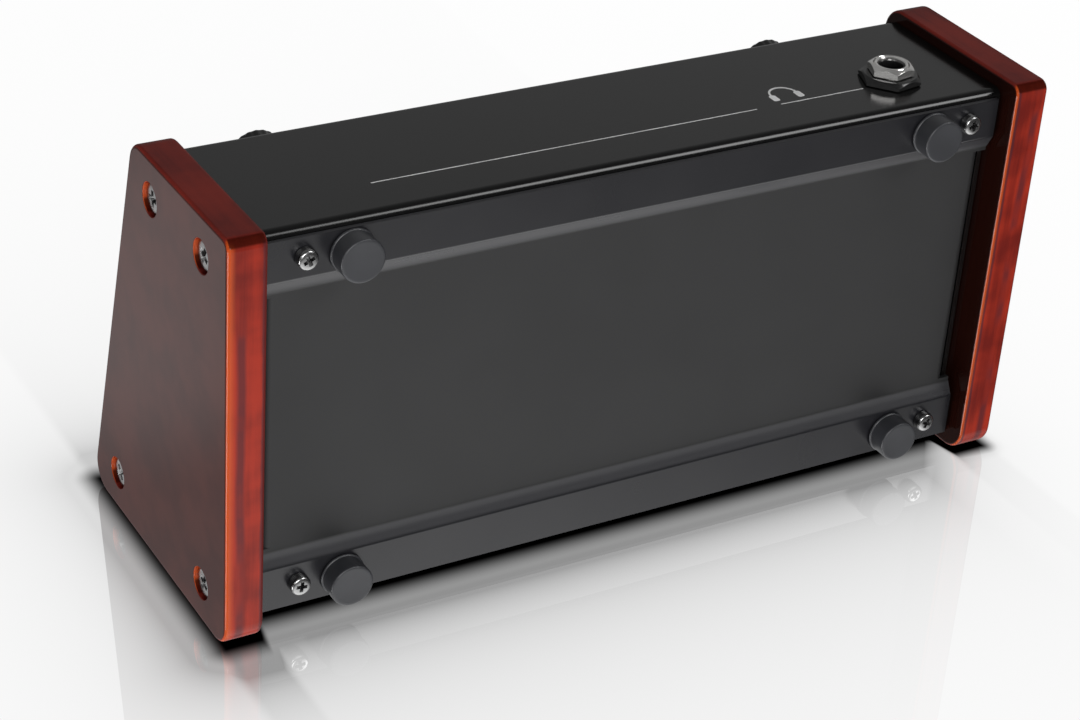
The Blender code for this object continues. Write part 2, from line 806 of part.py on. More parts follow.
def make_knob(name, diameter, height, flutes, shaft_top, finish_material):
    """A fluted knob, hollow below round the shaft's nut, with a pointer groove to the rear."""
    top = knob_lift + height
    knob = plate(name, fluted_outline(diameter, flutes), height)
    shift_mesh(knob, (0, 0, knob_lift + height / 2))
    bevel(knob, height * knob_edge_share, angle=60)
    inner = diameter / 2 * knob_wall_share
    bore = shaft_diameter / 2 + fit_gap
    ceiling = pot_bushing_reach + 2 * fit_gap
    profile = [(0, shaft_top + fit_gap), (bore, shaft_top + fit_gap), (bore, ceiling), (inner, ceiling),
               (inner, -overrun), (0, -overrun)]
    hollow = turned(name + "_hollow", profile, collection=cutters)
    hollow.parent = knob
    cut(knob, hollow)
    length = diameter / 2
    groove = block(name + "_groove", (pointer_width, length, 2 * pointer_depth),
                   (0, length * pointer_place_share, top), cutters)
    groove.parent = knob
    cut(knob, groove)
    return finish(knob, finish_material)


def make_control(name, x, up, frames, materials):
    """A knob, its shaft, the potentiometer under the panel and the nut that holds it."""
    big = name == "volume"
    diameter = volume_knob_diameter if big else small_knob_diameter
    height = volume_knob_height if big else small_knob_height
    flutes = volume_knob_flutes if big else small_knob_flutes
    pot_diameter = volume_pot_diameter if big else small_pot_diameter
    shaft_top = knob_lift + height - knob_top_wall
    knob = make_knob(name + "_knob", diameter, height, flutes, shaft_top, materials["black_plastic"])
    place(knob, frames["panel"], (x, up, 0))
    back = -sheet_thickness - fit_gap
    shaft_bottom = back - pot_body_depth / 2
    shaft = rod(name + "_shaft", shaft_diameter, shaft_bottom, shaft_top)
    flat = block(name + "_shaft_flat", (shaft_diameter, shaft_diameter, shaft_top),
                 (0, shaft_diameter * (1 - shaft_flat_share), shaft_top / 2 + pot_bushing_reach), cutters)
    flat.parent = shaft
    cut(shaft, flat)
    place(shaft, frames["panel"], (x, up, 0))
    finish(shaft, materials["bright_steel"])
    outer, bushing = pot_diameter / 2, pot_bushing / 2
    bore = shaft_diameter / 2 + fit_gap
    floor = shaft_bottom - fit_gap
    profile = [(0, floor), (bore, floor), (bore, pot_bushing_reach), (bushing, pot_bushing_reach),
               (bushing, back), (outer, back), (outer, back - pot_body_depth),
               (0, back - pot_body_depth)]
    pot = turned(name + "_pot", profile)
    place(pot, frames["panel"], (x, up, 0))
    finish(pot, materials["dark_steel"])
    nut = make_hex_nut(name + "_pot_nut", pot_nut_flats, pot_nut_height, pot_bushing + 2 * fit_gap, 0,
                       materials["bright_steel"])
    place(nut, frames["panel"], (x, up, fit_gap))


def button_places():
    places = [share * inner_end for share in button_place_shares]
    left = zip(("button_mono", "button_source_2", "button_source_1"), [-x for x in places])
    right = zip(("button_speakers_a", "button_speakers_b", "button_mute"), places)
    return [*left, *right]


def make_button(name, x, frames, finish_material):
    """A push button: cap through the panel, flange that keeps it in, stem into its switch."""
    under = -sheet_thickness - fit_gap
    bottom = under - button_flange_height
    tall = button_rise - bottom
    cap = plate(name, rectangle(button_width, button_width, button_corner, 3), tall)
    shift_mesh(cap, (0, 0, button_rise - tall / 2))
    bevel(cap, button_edge, segments=2, angle=60)
    wide = button_width + 2 * button_flange
    flange = block(name + "_flange", (wide, wide, button_flange_height),
                   (0, 0, bottom + button_flange_height / 2), cutters)
    tip = switch_floor() + button_travel + fit_gap
    stem = block(name + "_stem", (button_stem, button_stem, under - tip), (0, 0, (under + tip) / 2), cutters)
    for tool in (flange, stem):
        tool.parent = cap
        join(cap, tool)
    place(cap, frames["panel"], (x, button_up_panel, 0))
    return finish(cap, finish_material)


def board_level():
    """The height of the main board's upper face below the panel's outer face."""
    return -(sheet_thickness + fit_gap + pot_body_depth + fit_gap)


def switch_floor():
    """The floor of each switch's well, in the panel's frame."""
    return board_level() + switch_height - switch_well_depth


def make_main_board(frames, finish_material):
    """The board under the panel, with its switches, the flat cable's header and the lead's."""
    top = board_level()
    depth = main_board_end - main_board_start
    board = plate("main_board", rectangle(board_length, depth, board_corner, 2), board_thickness)
    middle = (main_board_start + main_board_end) / 2
    shift_mesh(board, (0, middle, top - board_thickness / 2))
    for name, x in button_places():
        body = block(name + "_switch", (switch_width, switch_width, switch_height + board_thickness / 2),
                     (x, button_up_panel, top + switch_height / 2 - board_thickness / 4), cutters)
        body.parent = board
        join(board, body)
        well = button_stem + 2 * switch_well_play
        deep = switch_well_depth + overrun
        pit = block(name + "_well", (well, well, deep), (x, button_up_panel, switch_floor() + deep / 2),
                    cutters)
        pit.parent = board
        cut(board, pit)
    low = top - board_thickness
    for name, x, up, long, wide in (("header", 0, header_up_panel, header_length, header_depth),
                                    ("lead_header", phones_place, lead_header_up_panel,
                                     lead_header_width, header_depth)):
        tall = header_height + board_thickness / 2
        body = block(name, (long, wide, tall), (x, up, low + board_thickness / 2 - tall / 2), cutters)
        body.parent = board
        join(board, body)
    place(board, frames["panel"])
    return finish(board, finish_material)


def rear_board_level():
    """How far the rear board's outer face lies inside the rear face."""
    return -(sheet_thickness + fit_gap + connector_depth + fit_gap)


def make_rear_board(frames, finish_material):
    outer = rear_board_level()
    top = panel_height(rear_face) - rear_board_drop
    tall = top - rear_board_bottom
    board = plate("rear_board", rectangle(board_length, tall, board_corner, 2), board_thickness)
    middle = (top + rear_board_bottom) / 2
    shift_mesh(board, (0, middle, outer - board_thickness / 2))
    long = header_height + board_thickness / 2
    body = block("rear_header", (header_length, header_depth, long),
                 (0, header_on_rear_board, outer - board_thickness / 2 - long / 2), cutters)
    body.parent = board
    join(board, body)
    place(board, frames["rear"])
    return finish(board, finish_material)


def panel_point(up, height):
    """A place in YZ of the working frame, from its place on the panel's frame."""
    y = front_inset + up * math.cos(panel_angle) - height * math.sin(panel_angle)
    z = panel_height(front_inset) + up * math.sin(panel_angle) + height * math.cos(panel_angle)
    return Vector((y, z))


def make_flat_cable(frames, finish_material):
    """The flat cable: out of the main board's header, round in a bend, into the rear board's."""
    low = board_level() - board_thickness - header_height - fit_gap
    start = panel_point(header_up_panel, low)
    down = panel_point(header_up_panel, low - cable_bend) - start
    end_y = rear_face + rear_board_level() - board_thickness - header_height - fit_gap
    end = Vector((end_y, header_on_rear_board))
    knee = Vector((start.x + down.x * (start.y - end.y) / -down.y, end.y))
    path = rounded_path([start, knee, end], [cable_bend], 2 * bend_steps)
    cable = sheet("flat_cable", path, cable_width / 2, cable_thickness)
    cable.modifiers["wall"].offset = 0
    place(cable, frames["stand"])
    return finish(cable, finish_material)


def make_phones_lead(frames, finish_material):
    """The lead from the headphone socket's back to its header on the main board."""
    back = front_inset + sheet_thickness + 2 * fit_gap + jack_body_depth
    low = board_level() - board_thickness - header_height - fit_gap
    top = panel_point(lead_header_up_panel, low)
    below = panel_point(lead_header_up_panel, low - cable_bend)
    curve = bpy.data.curves.new("phones_lead", "CURVE")
    curve.dimensions = "3D"
    curve.bevel_depth = lead_diameter / 2
    curve.bevel_resolution = 2
    curve.resolution_u = 8
    curve.use_fill_caps = True
    spline = curve.splines.new("BEZIER")
    spline.bezier_points.add(1)
    x = phones_place
    ends = (((x, back, phones_height), (x, back - cable_bend, phones_height),
             (x, back + cable_bend, phones_height)),
            ((x, *top), (x, *below), (x, *(2 * top - below))))
    for point, (place_of_end, before, after) in zip(spline.bezier_points, ends):
        point.co = place_of_end
        point.handle_left = before
        point.handle_right = after
    source = new_piece("phones_lead_route", curve, cutters)
    bpy.context.view_layer.update()
    lead = new_piece("phones_lead", curve_as_mesh(source))
    place(lead, frames["stand"])
    return finish(lead, finish_material)


def make_xlr(name, x, frames, finish_material):
    """A three-pin output: flange on the sheet, cup through it, pins on the cup's floor."""
    outline = rectangle(xlr_flange_width, xlr_flange_height, xlr_flange_corner, 2)
    socket = plate(name, outline, xlr_flange_thickness)
    shift_mesh(socket, (0, 0, fit_gap + xlr_flange_thickness / 2))
    top = fit_gap + xlr_flange_thickness
    shell_bottom = -sheet_thickness - fit_gap - connector_depth
    shell = rod(name + "_shell", xlr_shell_diameter, shell_bottom, top - xlr_flange_thickness / 2,
                collection=cutters)
    cup = rod(name + "_cup", xlr_cup_diameter, top - xlr_cup_depth, top + overrun, collection=cutters)
    for tool in (shell, cup):
        tool.parent = socket
    join(socket, shell)
    cut(socket, cup)
    floor = top - xlr_cup_depth
    for i in range(3):
        turn = math.radians(150 - 120 * i)
        centre = (xlr_pin_circle / 2 * math.cos(turn), xlr_pin_circle / 2 * math.sin(turn))
        pin = rod(f"{name}_pin_{i}", xlr_pin_diameter, floor - overrun, floor + xlr_pin_length, centre,
                  steps=pin_steps, collection=cutters)
        pin.parent = socket
        join(socket, pin)
    for i, sign in enumerate((-1, 1)):
        centre = (sign * xlr_screw_across / 2, sign * xlr_screw_along / 2)
        hole = rod(f"{name}_screw_hole_{i}", xlr_screw_hole, -overrun, top + overrun, centre,
                   steps=pin_steps, collection=cutters)
        hole.parent = socket
        cut(socket, hole)
    place(socket, frames["rear"], (x, rear_row_height, 0))
    return finish(socket, finish_material)


def make_rear_inputs(frames, materials):
    nose = fit_gap + jack_nut_height + fit_gap
    for side, x in zip(("left", "right"), input_places):
        jack = make_jack("input_jack_" + side, nose, connector_depth, materials["black_plastic"])
        place(jack, frames["rear"], (x, rear_row_height, 0))
        nut = make_hex_nut("input_nut_" + side, jack_nut_flats, jack_nut_height,
                           jack_bushing + 2 * fit_gap, 0, materials["bright_steel"])
        place(nut, frames["rear"], (x, rear_row_height, fit_gap))


def make_aux_socket(frames, finish_material):
    """The 3.5 mm input: a small body on the rear board, its nose through the sheet."""
    back = -sheet_thickness - fit_gap
    socket = block("aux_jack", (aux_width, aux_width, connector_depth),
                   (0, 0, back - connector_depth / 2))
    nose = rod("aux_nose", aux_nose, back - overrun, aux_nose_rise, collection=cutters)
    bore = rod("aux_bore", aux_bore, aux_nose_rise - aux_bore_depth, aux_nose_rise + overrun,
               steps=small_steps, collection=cutters)
    for tool in (nose, bore):
        tool.parent = socket
    join(socket, nose)
    cut(socket, bore)
    place(socket, frames["rear"], (aux_place, rear_low_height, 0))
    return finish(socket, finish_material)


def make_power_inlet(frames, finish_material):
    """The barrel inlet for an outside power supply: a bore with a centre pin."""
    length = sheet_thickness + fit_gap + connector_depth + aux_nose_rise
    inlet = block("power_inlet", (power_width, power_height, length), (0, 0, aux_nose_rise - length / 2))
    floor = aux_nose_rise - power_bore_depth
    bore = rod("power_bore", power_bore, floor, aux_nose_rise + overrun, collection=cutters)
    pin = rod("power_pin", power_pin_diameter, floor - overrun, floor + power_pin_length, steps=pin_steps,
              collection=cutters)
    for tool in (bore, pin):
        tool.parent = inlet
    cut(inlet, bore)
    join(inlet, pin)
    place(inlet, frames["rear"], (power_place, rear_low_height, 0))
    return finish(inlet, finish_material)


def build():
    clear_scene()
    materials = make_materials()
    frames = make_frames()
    for side in ("left", "right"):
        make_cheek(side, frames[side], materials["lacquered_wood"])
        make_end_plate(side, frames, materials["dark_steel"])
        make_cheek_screws(side, frames[side], materials["dark_steel"])
    make_cover(frames, materials["gloss_black"])
    make_base_plate(frames, materials["satin_black"])
    make_base_screws(frames, materials["dark_steel"])
    make_feet(frames, materials["rubber"])
    make_front_socket(frames, materials)
    for name, x, up in knob_places():
        make_control(name, x, up, frames, materials)
    for name, x in button_places():
        make_button(name, x, frames, materials["grey_plastic"])
    make_main_board(frames, materials["board_green"])
    make_rear_board(frames, materials["board_green"])
    make_flat_cable(frames, materials["cable_grey"])
    make_phones_lead(frames, materials["rubber"])
    names = ("output_a_left", "output_a_right", "output_b_left", "output_b_right")
    for name, x in zip(names, xlr_places):
        make_xlr(name, x, frames, materials["black_plastic"])
    make_rear_inputs(frames, materials)
    make_aux_socket(frames, materials["black_plastic"])
    make_power_inlet(frames, materials["black_plastic"])


build()
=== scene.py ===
"""Looks of a desktop studio monitor controller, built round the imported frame.

It is shown stood on the rear edges of its wooden cheeks, on a pale gloss floor, seen from below and
from its front left. Sizes are in metres, in the frame's own axes.
"""
import json
import math

import bmesh
import bpy
from mathutils import Matrix, Vector

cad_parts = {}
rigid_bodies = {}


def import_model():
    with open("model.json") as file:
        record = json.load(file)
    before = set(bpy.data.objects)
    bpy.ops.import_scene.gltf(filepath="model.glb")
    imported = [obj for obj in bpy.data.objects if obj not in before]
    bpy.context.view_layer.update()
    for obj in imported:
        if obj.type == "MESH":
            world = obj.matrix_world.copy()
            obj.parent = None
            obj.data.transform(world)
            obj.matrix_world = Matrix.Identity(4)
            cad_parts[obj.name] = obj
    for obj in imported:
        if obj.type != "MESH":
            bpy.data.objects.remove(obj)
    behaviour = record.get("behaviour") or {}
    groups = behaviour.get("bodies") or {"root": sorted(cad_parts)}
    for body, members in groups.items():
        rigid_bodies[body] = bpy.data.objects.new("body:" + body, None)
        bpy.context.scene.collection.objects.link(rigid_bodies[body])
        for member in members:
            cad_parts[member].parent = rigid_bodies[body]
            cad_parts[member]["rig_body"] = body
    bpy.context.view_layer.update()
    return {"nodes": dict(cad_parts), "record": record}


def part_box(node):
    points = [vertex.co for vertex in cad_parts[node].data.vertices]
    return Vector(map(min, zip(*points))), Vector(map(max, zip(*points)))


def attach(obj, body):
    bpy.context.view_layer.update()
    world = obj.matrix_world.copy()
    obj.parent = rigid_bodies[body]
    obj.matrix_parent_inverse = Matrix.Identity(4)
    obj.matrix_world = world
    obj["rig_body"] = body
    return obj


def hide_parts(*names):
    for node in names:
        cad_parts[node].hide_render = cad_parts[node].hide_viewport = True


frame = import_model()
nodes = frame["nodes"]

# The wooden cheeks
cheek_depth = 0.1165
cheek_front_height = 0.0590
cheek_rear_height = 0.0895
cheek_thickness = 0.0105
cheek_corner_radius = 0.0070
cheek_toe_radius = 0.0030
cheek_arris = 0.0011
cheek_screw_front = 0.0112
cheek_screw_rear = 0.0113
cheek_screw_low = 0.0155
cheek_screw_below_top = 0.0150
counterbore_diameter = 0.0088
counterbore_depth = 0.0050
cheek_screw_diameter = 0.0040

# The metal housing's faces
half_length = 0.1200
housing_front = -0.05395
housing_rear = 0.05555
housing_bottom = 0.0016
base_level = 0.0066
front_bottom = -0.05735
panel_foot = 0.0579755
panel_angle = math.atan2(cheek_rear_height - cheek_front_height, cheek_depth)
sheet_thickness = 0.0012
fit_gap = 0.0003
bend_radius = 0.0025
recess_depth = 0.0022
press_radius = 0.0012
strip_end = 0.1076
panel_end_left = 0.1047
panel_end_right = 0.1032
rim_radius = 0.0003

# Places on the faces, in each face's own frame
jack_place = 0.0841
jack_height = 0.0234
knob_places = {"trim": (-0.0792, 0.0200), "volume": (0, 0.0560), "phones": (0.0792, 0.0200)}
button_up = 0.0620
button_places = {"source_1": -0.084315, "source_2": -0.0640575, "mono": -0.0438,
                 "speakers_a": 0.0438, "speakers_b": 0.0640575, "mute": 0.084315}
rear_row = 0.0500
rear_low = 0.0240
xlr_places = {"a_left": -0.0837675, "a_right": -0.0513555, "b_left": -0.0189435, "b_right": 0.0134685}
input_places = {"left": 0.04818, "right": 0.07665}
aux_place = 0.04818
power_place = 0.07665
base_screws = {"front_left": (-0.098, 0.0105), "front_right": (0.098, 0.0105),
               "rear_left": (-0.098, 0.1042), "rear_right": (0.098, 0.1042)}
feet = {"foot_front_left": (-0.0856, 0.0113), "foot_front_right": (0.0856, 0.0113),
        "foot_rear_left": (-0.0856, 0.1051), "foot_rear_right": (0.0856, 0.1051)}

# The light: the tone of the shadow painted on the floor round the object, how much lighter it is beside the cheeks,
# the strength of the floor's mirror and how far out the painted shadow fades, and the white cards in the room, each an
# aim from the object, a strength, and the angles in degrees at which its even middle and its soft edge end
floor_shadow_tone = 0.28
floor_shadow_side_lift = 0.13
floor_mirror = 0.30
floor_shadow_fade = 0.014
cards = [((0.54, -0.62, -0.57), 9.0, 7, 15), ((-0.83, 0.48, -0.25), 12.0, 9, 13),
         ((0.10, 0.85, -0.52), 1.55, 22, 37), ((-0.25, 0.56, 0.79), 0.4, 8, 20),
         ((-0.33, 0.485, 0.81), 0.8, 0.5, 4.5), ((0.577, -0.40, 0.712), 0.14, 12, 40),
         ((-0.786, 0.40, -0.472), 1.3, 5, 11), ((-0.786, -0.40, -0.472), 4.5, 3, 8)]

# Fineness
round_steps = 64
arc_steps = 10
print_height = 0.00004


def face_matrix(origin, across, up):
    """The frame of one face: X across it, Y up it, Z out of it."""
    across, up = Vector(across), Vector(up)
    out = across.cross(up)
    return Matrix.Translation(origin) @ Matrix((across, up, out)).transposed().to_4x4()


faces = {
    "front": face_matrix((0, housing_front, housing_bottom), (1, 0, 0), (0, 0, 1)),
    "rear": face_matrix((0, housing_rear, housing_bottom), (-1, 0, 0), (0, 0, 1)),
    "base": face_matrix((0, front_bottom, base_level), (1, 0, 0), (0, -1, 0)),
    "panel": face_matrix((0, housing_front, panel_foot), (1, 0, 0),
                         (0, math.cos(panel_angle), math.sin(panel_angle))),
    "left": face_matrix((-half_length, front_bottom, housing_bottom), (0, -1, 0), (0, 0, 1)),
    "right": face_matrix((half_length, front_bottom, housing_bottom), (0, 1, 0), (0, 0, 1)),
}


def new_piece(name, shape):
    """An object at the origin from a finished bmesh, its faces turned outwards."""
    bmesh.ops.recalc_face_normals(shape, faces=shape.faces)
    mesh = bpy.data.meshes.new(name)
    shape.to_mesh(mesh)
    shape.free()
    made = bpy.data.objects.new(name, mesh)
    bpy.context.scene.collection.objects.link(made)
    return made


def round_corner(before, corner, after, radius, steps=arc_steps):
    """The points of an arc that rounds one corner of a path."""
    before, corner, after = Vector(before), Vector(corner), Vector(after)
    if radius == 0:
        return [corner]
    one, two = (before - corner).normalized(), (after - corner).normalized()
    half = one.angle(two) / 2
    start = corner + one * radius / math.tan(half)
    centre = corner + (one + two).normalized() * radius / math.sin(half)
    turn = (start - centre).angle_signed(corner + two * radius / math.tan(half) - centre)
    return [centre + Matrix.Rotation(-turn * i / steps, 2) @ (start - centre) for i in range(steps + 1)]


def rounded_outline(corners, radii, steps=arc_steps):
    points = []
    for i, corner in enumerate(corners):
        points += round_corner(corners[i - 1], corner, corners[(i + 1) % len(corners)], radii[i], steps)
    return points


def rounded_path(corners, radii, steps=arc_steps):
    points = [Vector(corners[0])]
    for i, radius in enumerate(radii, 1):
        points += round_corner(corners[i - 1], corners[i], corners[i + 1], radius, steps)
    return points + [Vector(corners[-1])]


def rectangle(width, height, radius, steps=arc_steps):
    x, y = width / 2, height / 2
    return rounded_outline([(x, -y), (x, y), (-x, y), (-x, -y)], [radius] * 4, steps)


def ring(diameter, steps=round_steps, turn=0.0):
    return [(diameter / 2 * math.cos(math.tau * i / steps + turn),
             diameter / 2 * math.sin(math.tau * i / steps + turn)) for i in range(steps)]


def arc(centre, radius, start, end, steps):
    """Points of an arc in (radius, height), its angles in degrees."""
    turns = [math.radians(start + (end - start) * i / steps) for i in range(steps + 1)]
    return [(centre[0] + radius * math.cos(turn), centre[1] + radius * math.sin(turn)) for turn in turns]


def plates(name, outlines, bottom, top):
    """Flat outlines in XY, each raised between two heights, in one mesh."""
    shape = bmesh.new()
    bases = [shape.faces.new([shape.verts.new((x, y, bottom)) for x, y in outline]) for outline in outlines]
    lids = bmesh.ops.extrude_face_region(shape, geom=bases, use_keep_orig=True)["geom"]
    bmesh.ops.translate(shape, vec=(0, 0, top - bottom),
                        verts=[item for item in lids if isinstance(item, bmesh.types.BMVert)])
    return new_piece(name, shape)


def plate(name, outline, bottom, top):
    return plates(name, [outline], bottom, top)


def turned(name, profile, steps=round_steps, centre=(0, 0)):
    """A body of revolution round Z from (radius, height) points that start and end on its axis."""
    shape = bmesh.new()
    rim = [shape.verts.new((radius, 0, height)) for radius, height in profile]
    edges = [shape.edges.new(pair) for pair in zip(rim, rim[1:])]
    bmesh.ops.spin(shape, geom=rim + edges, axis=(0, 0, 1), cent=(0, 0, 0), angle=math.tau, steps=steps,
                   use_duplicate=False)
    bmesh.ops.remove_doubles(shape, verts=shape.verts, dist=0.000002)
    bmesh.ops.translate(shape, vec=(*centre, 0), verts=shape.verts)
    return new_piece(name, shape)


def block(name, size, centre=(0, 0, 0)):
    shape = bmesh.new()
    bmesh.ops.create_cube(shape, size=1)
    bmesh.ops.scale(shape, vec=size, verts=shape.verts)
    bmesh.ops.translate(shape, vec=centre, verts=shape.verts)
    return new_piece(name, shape)


def thicken(piece, thickness):
    wall = piece.modifiers.new("wall", "SOLIDIFY")
    wall.thickness = thickness
    wall.offset = -1
    wall.use_even_offset = True


def open_sheet(name, shape, thickness):
    """Sheet metal from an open bmesh surface, its thickness laid behind its faces."""
    mesh = bpy.data.meshes.new(name)
    shape.to_mesh(mesh)
    shape.free()
    made = bpy.data.objects.new(name, mesh)
    bpy.context.scene.collection.objects.link(made)
    thicken(made, thickness)
    return made


def drawn_sheet(name, path, half_width, thickness):
    """Sheet metal along a path in YZ, drawn out along X."""
    shape = bmesh.new()
    edge = [shape.verts.new((-half_width, y, z)) for y, z in path]
    strip = [shape.edges.new(pair) for pair in zip(edge, edge[1:])]
    drawn = bmesh.ops.extrude_edge_only(shape, edges=strip)["geom"]
    bmesh.ops.translate(shape, vec=(2 * half_width, 0, 0),
                        verts=[item for item in drawn if isinstance(item, bmesh.types.BMVert)])
    return open_sheet(name, shape, thickness)


def rounded(piece, width, segments=3, angle=40):
    edges = piece.modifiers.new("edges", "BEVEL")
    edges.width = width
    edges.segments = segments
    edges.limit_method = "ANGLE"
    edges.angle_limit = math.radians(angle)
    return piece


def combined(piece, operation, *tools):
    for tool in tools:
        step = piece.modifiers.new(operation.lower(), "BOOLEAN")
        step.operation = operation
        step.object = tool
    return piece


def cut(piece, *tools):
    return combined(piece, "DIFFERENCE", *tools)


def join(piece, *tools):
    return combined(piece, "UNION", *tools)


def bake(piece):
    """Applies a piece's modifiers and removes the tools that they used."""
    graph = bpy.context.evaluated_depsgraph_get()
    mesh = bpy.data.meshes.new_from_object(piece.evaluated_get(graph))
    tools = [step.object for step in piece.modifiers if step.type == "BOOLEAN"]
    piece.modifiers.clear()
    piece.data = mesh
    for tool in tools:
        bpy.data.objects.remove(tool, do_unlink=True)
    return piece


def moved(piece, matrix):
    piece.data.transform(matrix)
    return piece


def at(face, x=0.0, y=0.0, z=0.0):
    return faces[face] @ Matrix.Translation((x, y, z))


def dress(piece, finish, *replaced, place=None, angle=35, body=None, look=None):
    """A finished piece: baked, set in its place, its shading evened, and riding on a body."""
    bake(piece)
    if place:
        moved(piece, place)
    piece.data.shade_smooth()
    piece.data.set_sharp_from_angle(angle=math.radians(angle))
    even = piece.modifiers.new("even", "WEIGHTED_NORMAL")
    even.weight = 80
    even.keep_sharp = True
    bake(piece)
    piece.data.materials.clear()
    piece.data.materials.append(look or finishes[finish])
    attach(piece, body or nodes[replaced[0]]["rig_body"])
    if replaced:
        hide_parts(*replaced)
    return piece


class Nodes:
    """A node tree in the making, for a material or for the world."""

    def __init__(self, tree):
        self.tree = tree

    def feed(self, socket, value):
        if isinstance(value, Value):
            self.tree.links.new(value.socket, socket)
        else:
            socket.default_value = value

    def node(self, kind, settings=None, inputs=None, output=0):
        """Any node: its settings first, then the values or links of its sockets."""
        made = self.tree.nodes.new("ShaderNode" + kind)
        for name, value in (settings or {}).items():
            setattr(made, name, value)
        for name, value in (inputs or {}).items():
            self.feed(made.inputs[name], value)
        return Value(self, made.outputs[output])

    def place(self, scale=(1, 1, 1)):
        """A point on the piece, in metres, stretched for a pattern."""
        here = self.node("TexCoord", output="Object")
        return self.node("Mapping", {}, {"Vector": here, "Scale": scale})

    def noise(self, place, scale, detail=3.0, roughness=0.5):
        return self.node("TexNoise", {}, {"Vector": place, "Scale": scale, "Detail": detail,
                                          "Roughness": roughness})

    def between(self, mask, start, end):
        """The mask stretched so that it runs from 0 at start to 1 at end, softly."""
        return self.node("MapRange", {"interpolation_type": "SMOOTHSTEP"},
                         {"Value": mask, "From Min": start, "From Max": end})

    def mix(self, mask, first, second):
        """Two colours, each a tuple or a value, mixed by a mask."""
        made = self.tree.nodes.new("ShaderNodeMix")
        made.data_type = "RGBA"
        for socket, value in zip((made.inputs[0], made.inputs[6], made.inputs[7]), (mask, first, second)):
            self.feed(socket, (*value, 1) if isinstance(value, tuple) else value)
        return Value(self, made.outputs[2])


class Finish(Nodes):
    """A material in the making: its Principled shader and the nodes that feed it."""

    def __init__(self, name, colour, roughness, metallic=0.0, **sockets):
        self.material = bpy.data.materials.new(name)
        self.material.use_nodes = True
        super().__init__(self.material.node_tree)
        self.shader = self.tree.nodes["Principled BSDF"]
        self.set("Base Color", (*colour, 1))
        self.set("Roughness", roughness)
        self.set("Metallic", metallic)
        for socket, value in sockets.items():
            self.set(socket.replace("_", " "), value)

    def set(self, socket, value):
        self.feed(self.shader.inputs[socket], value)

    def bump(self, height, distance, strength=1.0):
        self.set("Normal", self.node("Bump", {}, {"Height": height, "Distance": distance,
                                                  "Strength": strength}))

    def show(self, surface):
        self.feed(self.tree.nodes["Material Output"].inputs["Surface"], surface)


class Value:
    """A socket of a node tree: Python's operators on it add Math nodes."""

    def __init__(self, owner, socket):
        self.owner = owner
        self.socket = socket

    def other(self, name):
        """Another output of the same node."""
        return Value(self.owner, self.socket.node.outputs[name])

    def maths(self, operation, *values):
        return self.owner.node("Math", {"operation": operation}, dict(enumerate(values)))

    def __add__(self, other):
        return self.maths("ADD", self, other)

    def __radd__(self, other):
        return self.maths("ADD", other, self)

    def __sub__(self, other):
        return self.maths("SUBTRACT", self, other)

    def __rsub__(self, other):
        return self.maths("SUBTRACT", other, self)

    def __mul__(self, other):
        return self.maths("MULTIPLY", self, other)

    def __rmul__(self, other):
        return self.maths("MULTIPLY", other, self)

    def __truediv__(self, other):
        return self.maths("DIVIDE", self, other)

    def __rtruediv__(self, other):
        return self.maths("DIVIDE", other, self)

    def __pow__(self, other):
        return self.maths("POWER", self, other)

    def __abs__(self):
        return self.maths("ABSOLUTE", self)

    def above(self, other):
        return self.maths("MAXIMUM", self, other)


